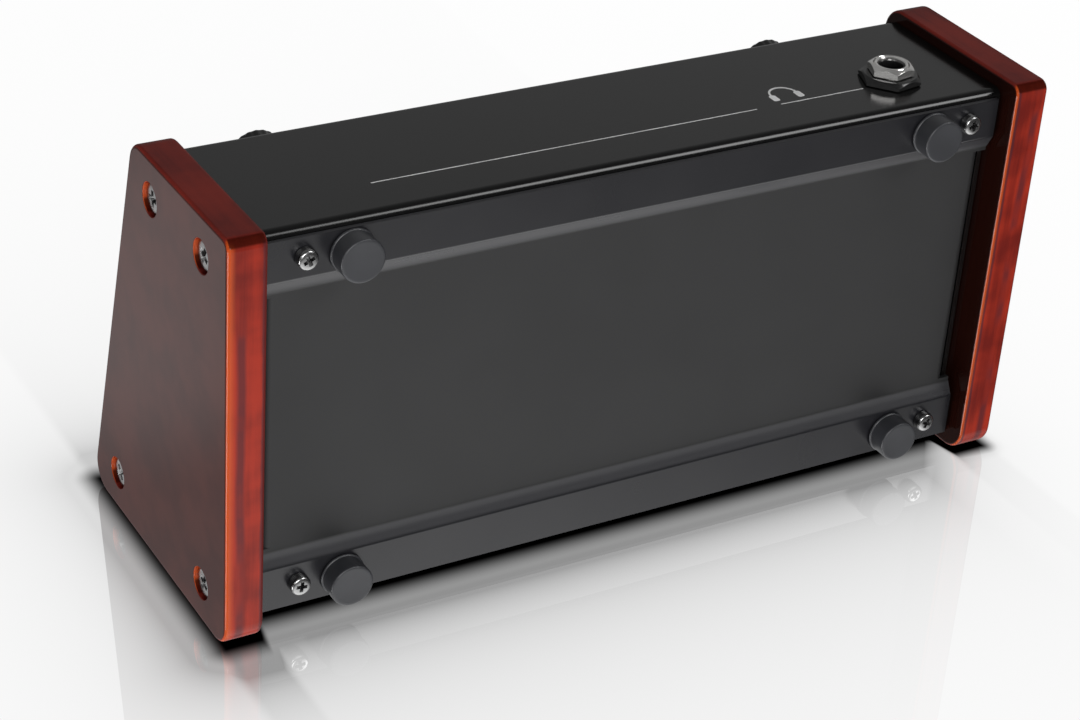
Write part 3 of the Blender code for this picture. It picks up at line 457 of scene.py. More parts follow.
def lacquered_wood():
    """Red hardwood under gloss lacquer: dark broad faces, red edges with darker bands near both sides of the lower
    edges, and orange arrises, partly lacquer worn thin and partly a painted highlight on the lower, left-facing ones
    and on the left cheek's outer lower edge; painted near black on the rounded toes as a dark reflection and on the
    inner faces as shade."""
    made = Finish("lacquered_wood", (0.2, 0.02, 0.01), 0.35, Coat_Weight=0.3, Coat_Roughness=0.06,
                  Specular_IOR_Level=0.0)
    here = made.node("SeparateXYZ", {}, {0: made.place()})
    x = abs(here)
    facing = made.node("SeparateXYZ", {}, {0: made.node("NewGeometry", output="Normal")})
    grain = made.noise(made.place((260, 14, 14)), 1.0, 5.0, 0.6)
    flame = made.noise(made.place((40, 55, 55)), 1.0, 3.0, 0.55)
    drift = made.noise(made.place((30, 22, 30)), 1.0, 2.0)
    below = made.between(facing.other("Z"), -0.6, -0.9)
    edge = made.mix(made.between(grain * 0.4 + flame * 0.6, 0.34, 0.60), (0.120, 0.012, 0.009), (0.300, 0.026, 0.013))
    band = 1.0 - made.between(abs(x + 0.0024 * (drift - 0.5) - 0.1163), 0.0004, 0.0018)
    seam = 1.0 - made.between(abs(x + 0.0010 * (flame - 0.5) - 0.1103), 0.0003, 0.0009)
    edge = made.mix((band * made.between(flame, 0.36, 0.56)).above(seam) * below * 0.75, edge, (0.060, 0.016, 0.020))
    # Orange on the left cheek's outer lower edge only: partly lacquer thinner at the edge, partly a painted highlight
    # on the side the light comes from
    left_edge_painted_highlight = made.between(0.0 - here, half_length - 0.0026, half_length - 0.0004) * below
    edge = made.mix(left_edge_painted_highlight * 0.7, edge, (0.50, 0.085, 0.022))
    ends = made.between(abs(facing.other("Y")), 0.80, 0.95)
    edge = made.mix(ends * 0.6, edge, (0.080, 0.008, 0.006))
    # Near black on the rounded toe between the front and lower faces: a painted dark reflection
    toe = made.between(facing.other("Z").above(facing.other("Y")), -0.22, -0.45)
    edge = made.mix(toe * 0.85, edge, (0.030, 0.004, 0.002))
    veil = made.mix(made.between(flame, 0.3, 0.7), (0.050, 0.014, 0.012), (0.075, 0.020, 0.016))
    outer = made.between(x, half_length - 0.0002, half_length - 0.00005)
    # Near black on the inner faces: painted shade of the narrow gap beside the housing
    inner = made.between(x, half_length - cheek_thickness + 0.0009, half_length - cheek_thickness + 0.0001)
    body = made.mix(inner, made.mix(outer, edge, veil), (0.012, 0.003, 0.002))
    # Arrises: orange where they face down and not right, dark where they face right; partly lacquer worn thin at the
    # edges, partly painted light and shade by which way they face
    arris = made.between(abs(facing), 0.25, 0.6) * made.between(abs(facing), 0.97, 0.8)
    arris_wear_and_painted_light = made.mix(made.between(facing.other("Z"), -0.2, -0.5), (0.17, 0.016, 0.010), (0.50, 0.075, 0.014))
    arris_wear_and_painted_light = made.mix(made.between(facing, 0.1, 0.3), arris_wear_and_painted_light, (0.14, 0.018, 0.014))
    made.set("Base Color", made.mix(arris * 0.75, body, arris_wear_and_painted_light))
    # Less coat on the toe, where the dark reflection is painted
    made.set("Coat Weight", 0.3 - 0.3 * toe)
    made.set("Roughness", 0.3 + 0.1 * grain)
    made.bump(grain, 0.00003, 0.12)
    return made.material


def painted_sheet(name, colour, roughness, grit, **sockets):
    """Paint on steel sheet, with the fine unevenness of a sprayed coat."""
    made = Finish(name, colour, roughness, **sockets)
    speck = made.noise(made.place(), 2500.0, 2.0)
    broad = made.noise(made.place(), 45.0, 2.0)
    tone = tuple(channel * 0.85 for channel in colour)
    made.set("Base Color", made.mix(made.between(broad, 0.3, 0.7), tone, tuple(colour)))
    made.set("Roughness", roughness - 0.02 + 0.04 * broad)
    made.bump(speck, 0.00001, grit)
    return made.material


def plate_paint():
    """The base plate's satin paint: smooth on the strips, more matt down in the recess, and a lighter grey painted on
    the slopes between them as their sheen.
    """
    made = Finish("satin_black", (0.018, 0.018, 0.020), 0.30)
    depth = made.node("SeparateXYZ", {}, {0: made.place()}).other("Z") - base_level
    recess = made.between(depth, 0.4 * recess_depth, 0.95 * recess_depth)
    speck = made.noise(made.place(), 2500.0, 2.0)
    broad = made.noise(made.place(), 45.0, 2.0)
    strip = made.mix(made.between(broad, 0.3, 0.7), (0.0100, 0.0100, 0.0120), (0.0125, 0.0125, 0.0145))
    panel = made.mix(made.between(broad, 0.3, 0.7), (0.0095, 0.0095, 0.0100), (0.0115, 0.0115, 0.0120))
    slant = made.between(depth, 0.02 * recess_depth, 0.2 * recess_depth)
    # A lighter grey on the slopes between strip and recess: a painted sheen where their tilt catches more light
    panel = made.mix(made.between(depth, 0.97 * recess_depth, 0.85 * recess_depth), panel, (0.030, 0.030, 0.033))
    made.set("Base Color", made.mix(slant, strip, panel))
    made.set("Roughness", 0.26 + 0.04 * broad + 0.30 * recess)
    made.bump(speck, 0.00001, 0.2)
    return made.material


def moulded(name, colour, roughness, **sockets):
    """Moulded plastic or rubber with a faint texture."""
    made = Finish(name, colour, roughness, **sockets)
    speck = made.noise(made.place(), 1800.0, 3.0)
    cloud = made.noise(made.place(), 120.0, 2.0)
    tone = tuple(channel * 0.8 for channel in colour)
    made.set("Base Color", made.mix(made.between(cloud, 0.3, 0.7), tone, tuple(colour)))
    made.set("Roughness", roughness - 0.04 + 0.08 * speck)
    made.bump(speck, 0.00002, 0.2)
    return made.material


def metal(name, colour, roughness, shine=1.0):
    """Plated or blackened steel, faintly brushed."""
    made = Finish(name, colour, roughness, shine)
    brushed = made.noise(made.place((1, 1, 12)), 900.0, 2.0)
    tone = tuple(channel * 0.93 for channel in colour)
    made.set("Base Color", made.mix(made.between(brushed, 0.3, 0.7), tone, tuple(colour)))
    made.set("Roughness", roughness - 0.03 + 0.06 * brushed)
    made.bump(brushed, 0.00001, 0.06)
    return made.material


finishes = {
    "lacquered_wood": lacquered_wood(),
    "gloss_black": painted_sheet("gloss_black", (0.004, 0.004, 0.004), 0.17, 0.06, Specular_IOR_Level=0.33),
    "satin_black": plate_paint(),
    "dark_steel": metal("dark_steel", (0.30, 0.30, 0.30), 0.26),
    "bright_steel": metal("bright_steel", (0.84, 0.83, 0.81), 0.20, 0.9),
    "rubber": moulded("rubber", (0.027, 0.028, 0.032), 0.42),
    "black_plastic": moulded("black_plastic", (0.012, 0.012, 0.012), 0.22),
    "grey_plastic": moulded("grey_plastic", (0.22, 0.22, 0.23), 0.4),
    "board_green": moulded("board_green", (0.03, 0.16, 0.07), 0.4),
    "cable_grey": moulded("cable_grey", (0.40, 0.40, 0.41), 0.5),
}
white_print = moulded("white_print", (0.80, 0.80, 0.80), 0.45)


def cheek_screw_places():
    rise = math.tan(panel_angle)
    rear = cheek_depth - cheek_screw_rear
    return [(cheek_screw_front, cheek_screw_low),
            (cheek_screw_front, cheek_front_height + rise * cheek_screw_front - cheek_screw_below_top),
            (rear, cheek_front_height + rise * rear - cheek_screw_below_top), (rear, cheek_screw_low)]


def make_cheek(side):
    """A wooden cheek with rounded arrises and four counterbored holes with softened rims."""
    along = 1 if side == "right" else -1
    corners = [(0, 0), (cheek_depth, 0), (cheek_depth, cheek_rear_height), (0, cheek_front_height)]
    radii = [cheek_toe_radius] + [cheek_corner_radius] * 3
    outline = [(along * y, z) for y, z in rounded_outline(corners, radii)]
    cheek = rounded(plate(side + "_cheek", outline, -cheek_thickness, 0), cheek_arris, 5, 60)
    head, shank = counterbore_diameter / 2, cheek_screw_diameter / 2 + fit_gap
    mouth = arc((head + rim_radius, -rim_radius), rim_radius, 90, 180, 5)
    for i, (y, z) in enumerate(cheek_screw_places(), 1):
        hole = [(0, rim_radius), (head + rim_radius, rim_radius), *mouth, (head, -counterbore_depth),
                (shank, -counterbore_depth), (shank, -cheek_thickness - rim_radius),
                (0, -cheek_thickness - rim_radius)]
        cut(cheek, turned(f"hole_{side}_{i}", hole, 40, (along * y, z)))
    return dress(cheek, "lacquered_wood", "cheek_" + side, place=faces[side])


def base_holes(name, deep):
    """Cutters for the holes that the base screws and the feet's necks go through."""
    tools = []
    for places, diameter in ((base_screws, 0.0036), (feet, 0.0046)):
        for key, (x, y) in places.items():
            tools.append(moved(plate(f"{name}_{key}", ring(diameter, 24), -deep, 0.002), at("base", x, -y)))
    return tools


def make_cover():
    """The folded cover, with fine bends and every opening that the parts behind it need."""
    low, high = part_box("cover")

    def top(y):
        return panel_foot + (y - housing_front) * math.tan(panel_angle)

    corners = [(housing_front + 0.0118, low.z), (housing_front, low.z), (housing_front, top(housing_front)),
               (housing_rear, top(housing_rear)), (housing_rear, low.z), (housing_rear - 0.0128, low.z)]
    cover = drawn_sheet("folded_cover", rounded_path(corners, [bend_radius] * 4), high.x, sheet_thickness)
    deep = sheet_thickness + 0.003
    holes = [("panel", x, up, 0.0086) for x, up in knob_places.values()]
    holes += [("front", jack_place, jack_height, 0.0101)]
    holes += [("rear", x, rear_row, 0.0242) for x in xlr_places.values()]
    holes += [("rear", x, rear_row, 0.0101) for x in input_places.values()]
    holes += [("rear", aux_place, rear_low, 0.0066)]
    tools = [moved(plate(f"cover_hole_{i}", ring(diameter), -deep, deep), at(face, x, up))
             for i, (face, x, up, diameter) in enumerate(holes)]
    tools += [moved(plate(name + "_hole", rectangle(0.0106, 0.0106, 0.0019, 5), -deep, deep),
                    at("panel", x, button_up)) for name, x in button_places.items()]
    tools.append(moved(block("power_hole", (0.0096, 0.0116, 2 * deep)), at("rear", power_place, rear_low)))
    cut(cover, *tools, *base_holes("flange", deep))
    return dress(cover, "gloss_black", "cover", angle=30)


def make_base_plate():
    """The pressed plate: strips, rounded steps, the recessed panel and its turned-up ends."""
    strip, step, lip, bend = base_level, base_level + recess_depth, 0.0070, 0.0025
    front = [(0.0053, strip), (0.0163, strip), (0.0204, step), (0.0214, step)]
    rear = [(0.0935, step), (0.0945, step), (0.0986, strip), (0.1110, strip)]
    rows = [(front_bottom + y, z) for side in (front, rear) for y, z in rounded_path(side, [press_radius] * 2, 5)]
    wall = len(rows) // 2
    columns = [-strip_end, -panel_end_left, panel_end_right, strip_end]
    shape = bmesh.new()
    grid = [[shape.verts.new((x, y, z)) for x in columns] for y, z in rows]
    for i, (row, following) in enumerate(zip(grid, grid[1:])):
        for c in (1,) if i == wall - 1 else (0, 1, 2):
            shape.faces.new((row[c], following[c], following[c + 1], row[c + 1]))
    for column, sign, start in ((1, -1, panel_end_left), (2, 1, panel_end_right)):
        edge = [shape.edges.get((grid[wall - 1][column], grid[wall][column]))]
        for out, up in [*arc((0, bend), bend, -90, 0, 8)[1:], (bend, lip)]:
            drawn = bmesh.ops.extrude_edge_only(shape, edges=edge)["geom"]
            for item in drawn:
                if isinstance(item, bmesh.types.BMVert):
                    item.co = (sign * (start + out), item.co.y, step + up)
            edge = [item for item in drawn if isinstance(item, bmesh.types.BMEdge)
                    and all(vert in drawn for vert in item.verts)]
    bmesh.ops.delete(shape, geom=[vert for vert in shape.verts if not vert.link_faces], context="VERTS")
    base = rounded(open_sheet("pressed_plate", shape, sheet_thickness), 0.00025, 3, 50)
    cut(base, *base_holes("strip", sheet_thickness + 0.0004))
    return dress(base, "satin_black", "base_plate", angle=30)


def make_feet():
    """Rubber feet: a thin rolled rim on the strip, and a tapered body with a soft edge."""
    for name, (x, y) in feet.items():
        base, tip, height, edge, rim = 0.0061, 0.0059, 0.0066, 0.0005, 0.00045
        profile = [(0, height - 0.00006), (tip * 0.6, height - 0.00006), (tip - 2 * edge, height),
                   *arc((tip - edge, height - edge), edge, 90, 0, 6), (base - 0.0003, fit_gap + 3 * rim),
                   *arc((base - rim, fit_gap + rim), rim, 80, -90, 8), (0.0020, fit_gap), (0.0020, -0.0030),
                   (0.0030, -0.0030), (0.0020, -0.0049), (0, -0.0049)]
        dress(turned("rubber_" + name, profile), "rubber", name, place=at("base", x, -y), angle=40)


def hex_prism(name, flats, bottom, top, turn=0.0):
    return plate(name, ring(flats / math.cos(math.pi / 6), 6, math.radians(turn)), bottom, top)


def make_nut(name, flats, height, bore, face, x, y, z, turn=0.0):
    """A hex nut with its corners turned off at the top and a chamfered thread mouth."""
    nut = hex_prism("hex_" + name, flats, 0, height, turn)
    outer = flats / math.cos(math.pi / 6) / 2 + 0.0004
    crown = flats / 2 - 0.0005
    drop = (outer - crown) * math.tan(math.radians(36))
    combined(nut, "INTERSECT", turned(name + "_crown", [(0, height), (crown, height), (outer, height - drop),
                                                        (outer, -0.001), (0, -0.001)], 96))
    mouth = bore / 2 + 0.0002
    cut(nut, turned(name + "_bore", [(0, height + 0.001), (mouth, height + 0.001), (mouth, height),
                                     (bore / 2, height - 0.0002), (bore / 2, -0.001), (0, -0.001)]))
    return dress(rounded(nut, 0.00012, 2, 20), "bright_steel", name, place=at(face, x, y, z), angle=25)


def make_jack(name, depth, nose, face, x, y):
    """A 6.35 mm socket: a body with its sleeve behind the sheet, and a plated threaded bushing."""
    back = -sheet_thickness - fit_gap
    body = rounded(block("socket_" + name, (0.0160, 0.0160, depth), (0, 0, back - depth / 2)), 0.0008, 3)
    join(body, turned(name + "_sleeve", [(0, nose - 0.0008), (0.00375, nose - 0.0008), (0.00375, back - 0.001),
                                         (0, back - 0.001)]))
    bore = [(0, nose), (0.0035, nose), (0.0033, nose - 0.0012), (0.0033, nose - 0.0200), (0, nose - 0.0200)]
    cut(body, turned(name + "_bore", bore))
    dress(body, "black_plastic", name, place=at(face, x, y))
    outer, root, pitch = 0.00475, 0.00445, 0.0005
    turns = int((nose - back - 0.0006) / pitch)
    thread = [(radius, nose - 0.0004 - pitch * (i + 0.5 * (radius == root)))
              for i in range(turns) for radius in (outer, root)]
    bushing = turned(name + "_bushing", [(0, nose), (root, nose), *thread, (root, back), (0, back)])
    cut(bushing, turned(name + "_mouth", [(0, nose + 0.001), (0.0041, nose + 0.001), (0.0041, nose),
                                          (0.0038, nose - 0.0003), (0.0038, back - 0.001), (0, back - 0.001)]))
    dress(bushing, "bright_steel", place=at(face, x, y), body=nodes[name]["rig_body"])


def make_front_socket():
    """The headphone socket, its faceted washer and its bright nut."""
    make_jack("phones_jack", 0.0185, 0.0049, "front", jack_place, jack_height)
    seat = 0.0022
    washer = hex_prism("hex_washer", 0.0176 * math.cos(math.pi / 6), fit_gap, seat, 10)
    combined(washer, "INTERSECT", turned("washer_crown", [(0, seat), (0.0073, seat), (0.0088, 0.00078),
                                                          (0.0088, 0), (0, 0)], 96))
    cut(washer, turned("washer_bore", [(0, seat + 0.001), (0.00505, seat + 0.001), (0.00505, -0.001), (0, -0.001)]))
    dress(rounded(washer, 0.0001, 2, 20), "black_plastic", "phones_washer",
          place=at("front", jack_place, jack_height), angle=25)
    make_nut("phones_nut", 0.0113, 0.0024, 0.0098, "front", jack_place, jack_height, seat + fit_gap, 11)


def fluted(diameter, flutes, points=16):
    outline, depth = [], 0.42 / flutes
    for i in range(flutes * points):
        turn = math.tau * i / (flutes * points)
        radius = diameter / 2 * (1 - depth * (1 - math.cos(flutes * turn)) / 2)
        outline.append((radius * math.cos(turn), radius * math.sin(turn)))
    return outline


def make_knob(name, diameter, height, flutes):
    """A fluted knob, hollow round its shaft's nut, with a groove for its pointer."""
    x, up = knob_places[name]
    lift, top = 0.0008, 0.0008 + height
    knob = rounded(plate(name + "_cap", fluted(diameter, flutes), lift, top), height * 0.07, 5, 60)
    inner, bore, ceiling, end = diameter * 0.39, 0.0033, 0.0056, top - 0.0027
    hollow = [(0, end), (bore, end), (bore, ceiling), (inner, ceiling), (inner, -0.001), (0, -0.001)]
    groove = block(name + "_groove", (0.0012, diameter / 2, 0.0010), (0, diameter * 0.35, top))
    cut(knob, turned(name + "_hollow", hollow), groove)
    return dress(knob, "black_plastic", name + "_knob", place=at("panel", x, up))


def make_buttons():
    """Push buttons with soft edges and a shallow dish, each with its flange and stem."""
    for name, x in button_places.items():
        cap = rounded(plate(name + "_cap", rectangle(0.0100, 0.0100, 0.0016, 6), -0.0025, 0.0045), 0.0006, 4, 60)
        dish = turned(name + "_dish", [(0, 0.0060), (0.0040, 0.0060), (0.0040, 0.0046), (0.0020, 0.00428),
                                       (0, 0.0042)], 48)
        flange = rounded(block(name + "_flange", (0.0124, 0.0124, 0.0010), (0, 0, -0.0020)), 0.0002, 2)
        stem = block(name + "_stem", (0.0034, 0.0034, 0.0062), (0, 0, -0.0046))
        cut(join(cap, flange, stem), dish)
        dress(cap, "grey_plastic", "button_" + name, place=at("panel", x, button_up))


def repeat_tree():
    """Geometry nodes that set one model on every point, turned as the point's own "turn" says."""
    tree = bpy.data.node_groups.new("repeat", "GeometryNodeTree")
    for name, kind in (("Points", "Geometry"), ("Model", "Object"), ("Finish", "Material")):
        tree.interface.new_socket(name, in_out="INPUT", socket_type="NodeSocket" + kind)
    tree.interface.new_socket("Set", in_out="OUTPUT", socket_type="NodeSocketGeometry")
    given = tree.nodes.new("NodeGroupInput")
    model = tree.nodes.new("GeometryNodeObjectInfo")
    turn = tree.nodes.new("GeometryNodeInputNamedAttribute")
    turn.data_type = "FLOAT_VECTOR"
    turn.inputs["Name"].default_value = "turn"
    angle = tree.nodes.new("FunctionNodeEulerToRotation")
    spread = tree.nodes.new("GeometryNodeInstanceOnPoints")
    real = tree.nodes.new("GeometryNodeRealizeInstances")
    painted = tree.nodes.new("GeometryNodeSetMaterial")
    result = tree.nodes.new("NodeGroupOutput")
    for start, end in ((given.outputs["Model"], model.inputs["Object"]),
                       (given.outputs["Points"], spread.inputs["Points"]),
                       (model.outputs["Geometry"], spread.inputs["Instance"]),
                       (turn.outputs[0], angle.inputs[0]), (angle.outputs[0], spread.inputs["Rotation"]),
                       (spread.outputs[0], real.inputs[0]), (real.outputs[0], painted.inputs["Geometry"]),
                       (given.outputs["Finish"], painted.inputs["Material"]),
                       (painted.outputs[0], result.inputs[0])):
        tree.links.new(start, end)
    return tree


def repeated(name, model, places, finish, *replaced, body=None):
    """One mesh of a model repeated at several places, made by the repeat tree and baked."""
    mesh = bpy.data.meshes.new(name)
    mesh.from_pydata([place.translation for place in places], [], [])
    turns = mesh.attributes.new("turn", "FLOAT_VECTOR", "POINT")
    for item, place in zip(turns.data, places):
        item.vector = place.to_euler()
    piece = bpy.data.objects.new(name, mesh)
    bpy.context.scene.collection.objects.link(piece)
    bake(model)
    step = piece.modifiers.new("repeat", "NODES")
    step.node_group = repeat_group
    for socket, value in (("Model", model), ("Finish", finishes[finish])):
        step[repeat_group.interface.items_tree[socket].identifier] = value
    bake(piece)
    bpy.data.objects.remove(model, do_unlink=True)
    return dress(piece, finish, *replaced, angle=30, body=body)


def pan_screw(name, head, height, dome, shank, length):
    """A cross-head screw on Z = 0: a pan head with a tapered cross, and a blunt shank."""
    crown = [(head / 2 * out, height - dome * down) for out, down in
             ((0, 0), (0.50, 0.02), (0.74, 0.06), (0.85, 0.16), (0.93, 0.36), (0.98, 0.64), (1.0, 1.0))]
    screw = turned(name, [*crown, (head / 2, 0), (shank / 2, 0), (shank / 2, -length + shank / 4),
                          (shank / 3, -length), (0, -length)], 48)
    for turn in (0, math.pi / 2):
        slot = bmesh.new()
        bmesh.ops.create_cube(slot, size=1)
        for vert in slot.verts:
            low = vert.co.z < 0
            vert.co = (vert.co.x * head * (0.28 if low else 0.62), vert.co.y * head * (0.11 if low else 0.20),
                       height * (0.30 if low else 1.2))
        bmesh.ops.rotate(slot, matrix=Matrix.Rotation(turn, 3, "Z"), verts=slot.verts)
        cut(screw, new_piece(f"{name}_slot_{turn:.0f}", slot))
    return screw


def make_screws():
    """The eight cheek screws and the four base screws, their slots turned as screws end up."""
    seats, held = [], []
    for side, along in (("left", -1), ("right", 1)):
        for i, (y, z) in enumerate(cheek_screw_places(), 1):
            seats.append(at(side, along * y, z, fit_gap - counterbore_depth) @ Matrix.Rotation(2.1 * i + along, 4, "Z"))
            held.append(f"cheek_screw_{side}_{i}")
    repeated("cheek_screws", pan_screw("cheek_screw", 0.0082, 0.0039, 0.0005, 0.0040, 0.0108), seats, "dark_steel", *held)
    seats = [at("base", x, -y, fit_gap) @ Matrix.Rotation(1.3 * i + 0.4, 4, "Z")
             for i, (x, y) in enumerate(base_screws.values())]
    repeated("base_screws", pan_screw("base_screw", 0.0056, 0.0025, 0.0011, 0.0030, 0.0060), seats, "dark_steel",
             *("base_screw_" + name for name in base_screws))


def make_outputs():
    """Three-pin outputs: a bevelled flange, the cup with its rolled rim and seats for the flange screws; returns where
    the pins stand.
    """
    top = fit_gap + 0.0016
    floor, pin_ends, screw_seats = top - 0.0130, [], []
    for name, x in xlr_places.items():
        socket = rounded(plate("flange_" + name, rectangle(0.0260, 0.0310, 0.0030, 6), fit_gap, top), 0.0003, 3, 60)
        join(socket, turned("shell_" + name, [(0, top - 0.0004), (0.0118, top - 0.0004), (0.0118, -0.0205),
                                              (0, -0.0205)]))
        cup = [(0, top + 0.001), (0.0098, top + 0.001), *arc((0.0098, top - 0.0005), 0.0005, 90, 180, 4),
               (0.0093, floor + 0.0006), (0.0087, floor), (0, floor)]
        cut(socket, turned("cup_" + name, cup))
        for sign in (-1, 1):
            cut(socket, turned(f"seat_{name}_{sign}", [(0, top + 0.001), (0.0030, top + 0.001), (0.0016, top - 0.0006),
                                                       (0.0016, -0.001), (0, -0.001)], 24,
                               (sign * 0.0095, sign * 0.0120)))
        dress(socket, "black_plastic", "output_" + name, place=at("rear", x, rear_row))
        for i in range(3):
            turn = math.radians(150 - 120 * i)
            pin_ends.append(at("rear", x + 0.0038 * math.cos(turn), rear_row + 0.0038 * math.sin(turn), floor))
    return pin_ends


def make_pins(pin_ends):
    """The outputs' contact pins, with rounded tips: one mesh on the housing."""
    pin = turned("pin", [(0, 0.0105), *arc((0.0007, 0.0100), 0.0005, 90, 0, 4), (0.0012, -0.0006), (0, -0.0006)], 20)
    repeated("contact_pins", pin, pin_ends, "bright_steel", body="housing")


def make_rear_sockets():
    """The two big inputs with their nuts, the small input and the power inlet."""
    for side, x in input_places.items():
        make_jack("input_jack_" + side, 0.0190, 0.0033, "rear", x, rear_row)
        make_nut("input_nut_" + side, 0.0121, 0.0027, 0.0101, "rear", x, rear_row, fit_gap)
    socket = rounded(block("aux_socket", (0.0110, 0.0110, 0.0190), (0, 0, -0.0110)), 0.0005, 3)
    nose = 0.0006
    join(socket, turned("aux_nose", [(0, nose), (0.0026, nose), *arc((0.0026, nose - 0.0004), 0.0004, 90, 0, 4),
                                     (0.0030, -0.0030), (0, -0.0030)]))
    cut(socket, turned("aux_bore", [(0, nose + 0.001), (0.0022, nose + 0.001), (0.00185, nose - 0.0004),
                                    (0.00185, nose - 0.0140), (0, nose - 0.0140)], 40))
    dress(socket, "black_plastic", "aux_jack", place=at("rear", aux_place, rear_low))
    inlet = rounded(block("barrel_inlet", (0.0090, 0.0110, 0.0211), (0, 0, nose - 0.01055)), 0.0004, 3)
    bore = [(0, nose + 0.001), (0.0036, nose + 0.001), (0.00315, nose - 0.0005), (0.00315, nose - 0.0095),
            (0, nose - 0.0095)]
    cut(inlet, turned("inlet_bore", bore, 40))
    join(inlet, turned("inlet_pin", [(0, nose - 0.0015), (0.0007, nose - 0.0015), (0.00105, nose - 0.0019),
                                     (0.00105, nose - 0.0100), (0, nose - 0.0100)], 24))
    dress(inlet, "black_plastic", "power_inlet", place=at("rear", power_place, rear_low))


def tick(turn, inner, outer, width, centre=(0, 0)):
    """The outline of a radial mark, its angle in degrees clockwise from straight up."""
    out = Vector((math.sin(math.radians(turn)), math.cos(math.radians(turn))))
    aside = Vector((out.y, -out.x)) * width / 2
    return [Vector(centre) + point for point in
            (out * inner - aside, out * inner + aside, out * outer + aside, out * outer - aside)]


def bar(start, end, level, width):
    return [(start, level - width / 2), (end, level - width / 2), (end, level + width / 2), (start, level + width / 2)]


def make_dials():
    """Ticks round the three knobs and rules under the two groups of buttons, printed on the panel."""
    marks = []
    for name, (x, up) in knob_places.items():
        inner, outer, width = (0.0255, 0.0285, 0.0005) if name == "volume" else (0.0088, 0.0104, 0.0004)
        marks += [tick(turn, inner, outer, width, (x, up)) for turn in range(-150, 151, 30)]
    for first, last in (("source_1", "mono"), ("speakers_a", "mute")):
        marks.append(bar(button_places[first] - 0.0050, button_places[last] + 0.0050, button_up - 0.0095, 0.0004))
    dress(plates("dial_marks", marks, -print_height, print_height), "grey_plastic", place=at("panel"),
          body="housing", look=white_print)


def make_numbers():
    """The volume dial's numbers from 0 to 10."""
    x, up = knob_places["volume"]
    shape = bmesh.new()
    for number in range(11):
        words = bpy.data.curves.new(f"number_{number}", "FONT")
        words.body, words.size, words.extrude = str(number), 0.0034, print_height
        words.align_x, words.align_y, words.resolution_u = "CENTER", "CENTER", 4
        made = bpy.data.objects.new(words.name, words)
        bpy.context.scene.collection.objects.link(made)
        mesh = bpy.data.meshes.new_from_object(made.evaluated_get(bpy.context.evaluated_depsgraph_get()))
        bpy.data.objects.remove(made, do_unlink=True)
        turn = math.radians(-150 + 30 * number)
        mesh.transform(Matrix.Translation((x + 0.0315 * math.sin(turn), up + 0.0315 * math.cos(turn), 0)))
        shape.from_mesh(mesh)
    bmesh.ops.remove_doubles(shape, verts=shape.verts, dist=0.000001)
    dress(new_piece("dial_numbers", shape), "grey_plastic", place=at("panel"), body="housing", look=white_print)


def make_front_print():
    """A plain headphone sign by the socket, and two thin rules."""
    x, up = 0.0517, 0.0263
    band = [(x + 0.0042 * math.cos(turn), up + 0.0042 * math.sin(turn))
            for turn in (math.pi * i / 24 for i in range(25))]
    band += [(x + 0.0036 * math.cos(turn), up + 0.0036 * math.sin(turn))
             for turn in (math.pi * i / 24 for i in range(24, -1, -1))]
    pads = [[(x + sign * 0.0039 + across, up - 0.0014 + along) for across, along in rectangle(0.0020, 0.0034, 0.0006, 4)]
            for sign in (-1, 1)]
    rules = [bar(0.0475, 0.0739, 0.0212, 0.0003), bar(-0.0730, 0.0396, 0.0209, 0.0003)]
    signs = join(plates("front_sign", [band], -print_height, print_height),
                 plates("pads", pads, -print_height, print_height))
    dress(signs, "grey_plastic", place=at("front"), body="housing", look=white_print)
    dress(plates("front_rules", rules, -print_height, print_height), "grey_plastic", place=at("front"),
          body="housing", look=white_print)


def make_pointer(name, diameter, top):
    """The white line in a knob's groove; it turns with the knob."""
    x, up = knob_places[name]
    width, start, end, low, high = 0.0010, 0.11 * diameter, 0.46 * diameter, top - 0.0006, top - 0.0002
    line = plate(name + "_pointer", [(-width / 2, start), (width / 2, start), (width / 2, end), (-width / 2, end)],
                 low, high)
    dress(line, "grey_plastic", place=at("panel", x, up), body=name + "_control", look=white_print)


def dress_frame():
    """Every CAD node gets the finish that the record names for it."""
    for row in frame["record"]["subparts"]:
        node = nodes[row["node"]]
        node.data.materials.clear()
        node.data.materials.append(finishes[row["material_slot"]])
        for polygon in node.data.polygons:
            polygon.material_index = 0


def make_camera():
    looking = Vector((0.45058, 0.50562, 0.73575))
    down = Vector((-0.20069, 0.86042, -0.46840))
    right = down.cross(looking)
    data = bpy.data.cameras.new("camera")
    data.sensor_width = 36
    data.lens = 36 * 2704 / 1080
    data.clip_start = 0.01
    camera = bpy.data.objects.new("camera", data)
    turn = Matrix((right, -down, -looking)).transposed().to_4x4()
    camera.matrix_world = Matrix.Translation((-0.34212, -0.35196, -0.50156)) @ turn
    bpy.context.scene.collection.objects.link(camera)
    bpy.context.scene.camera = camera


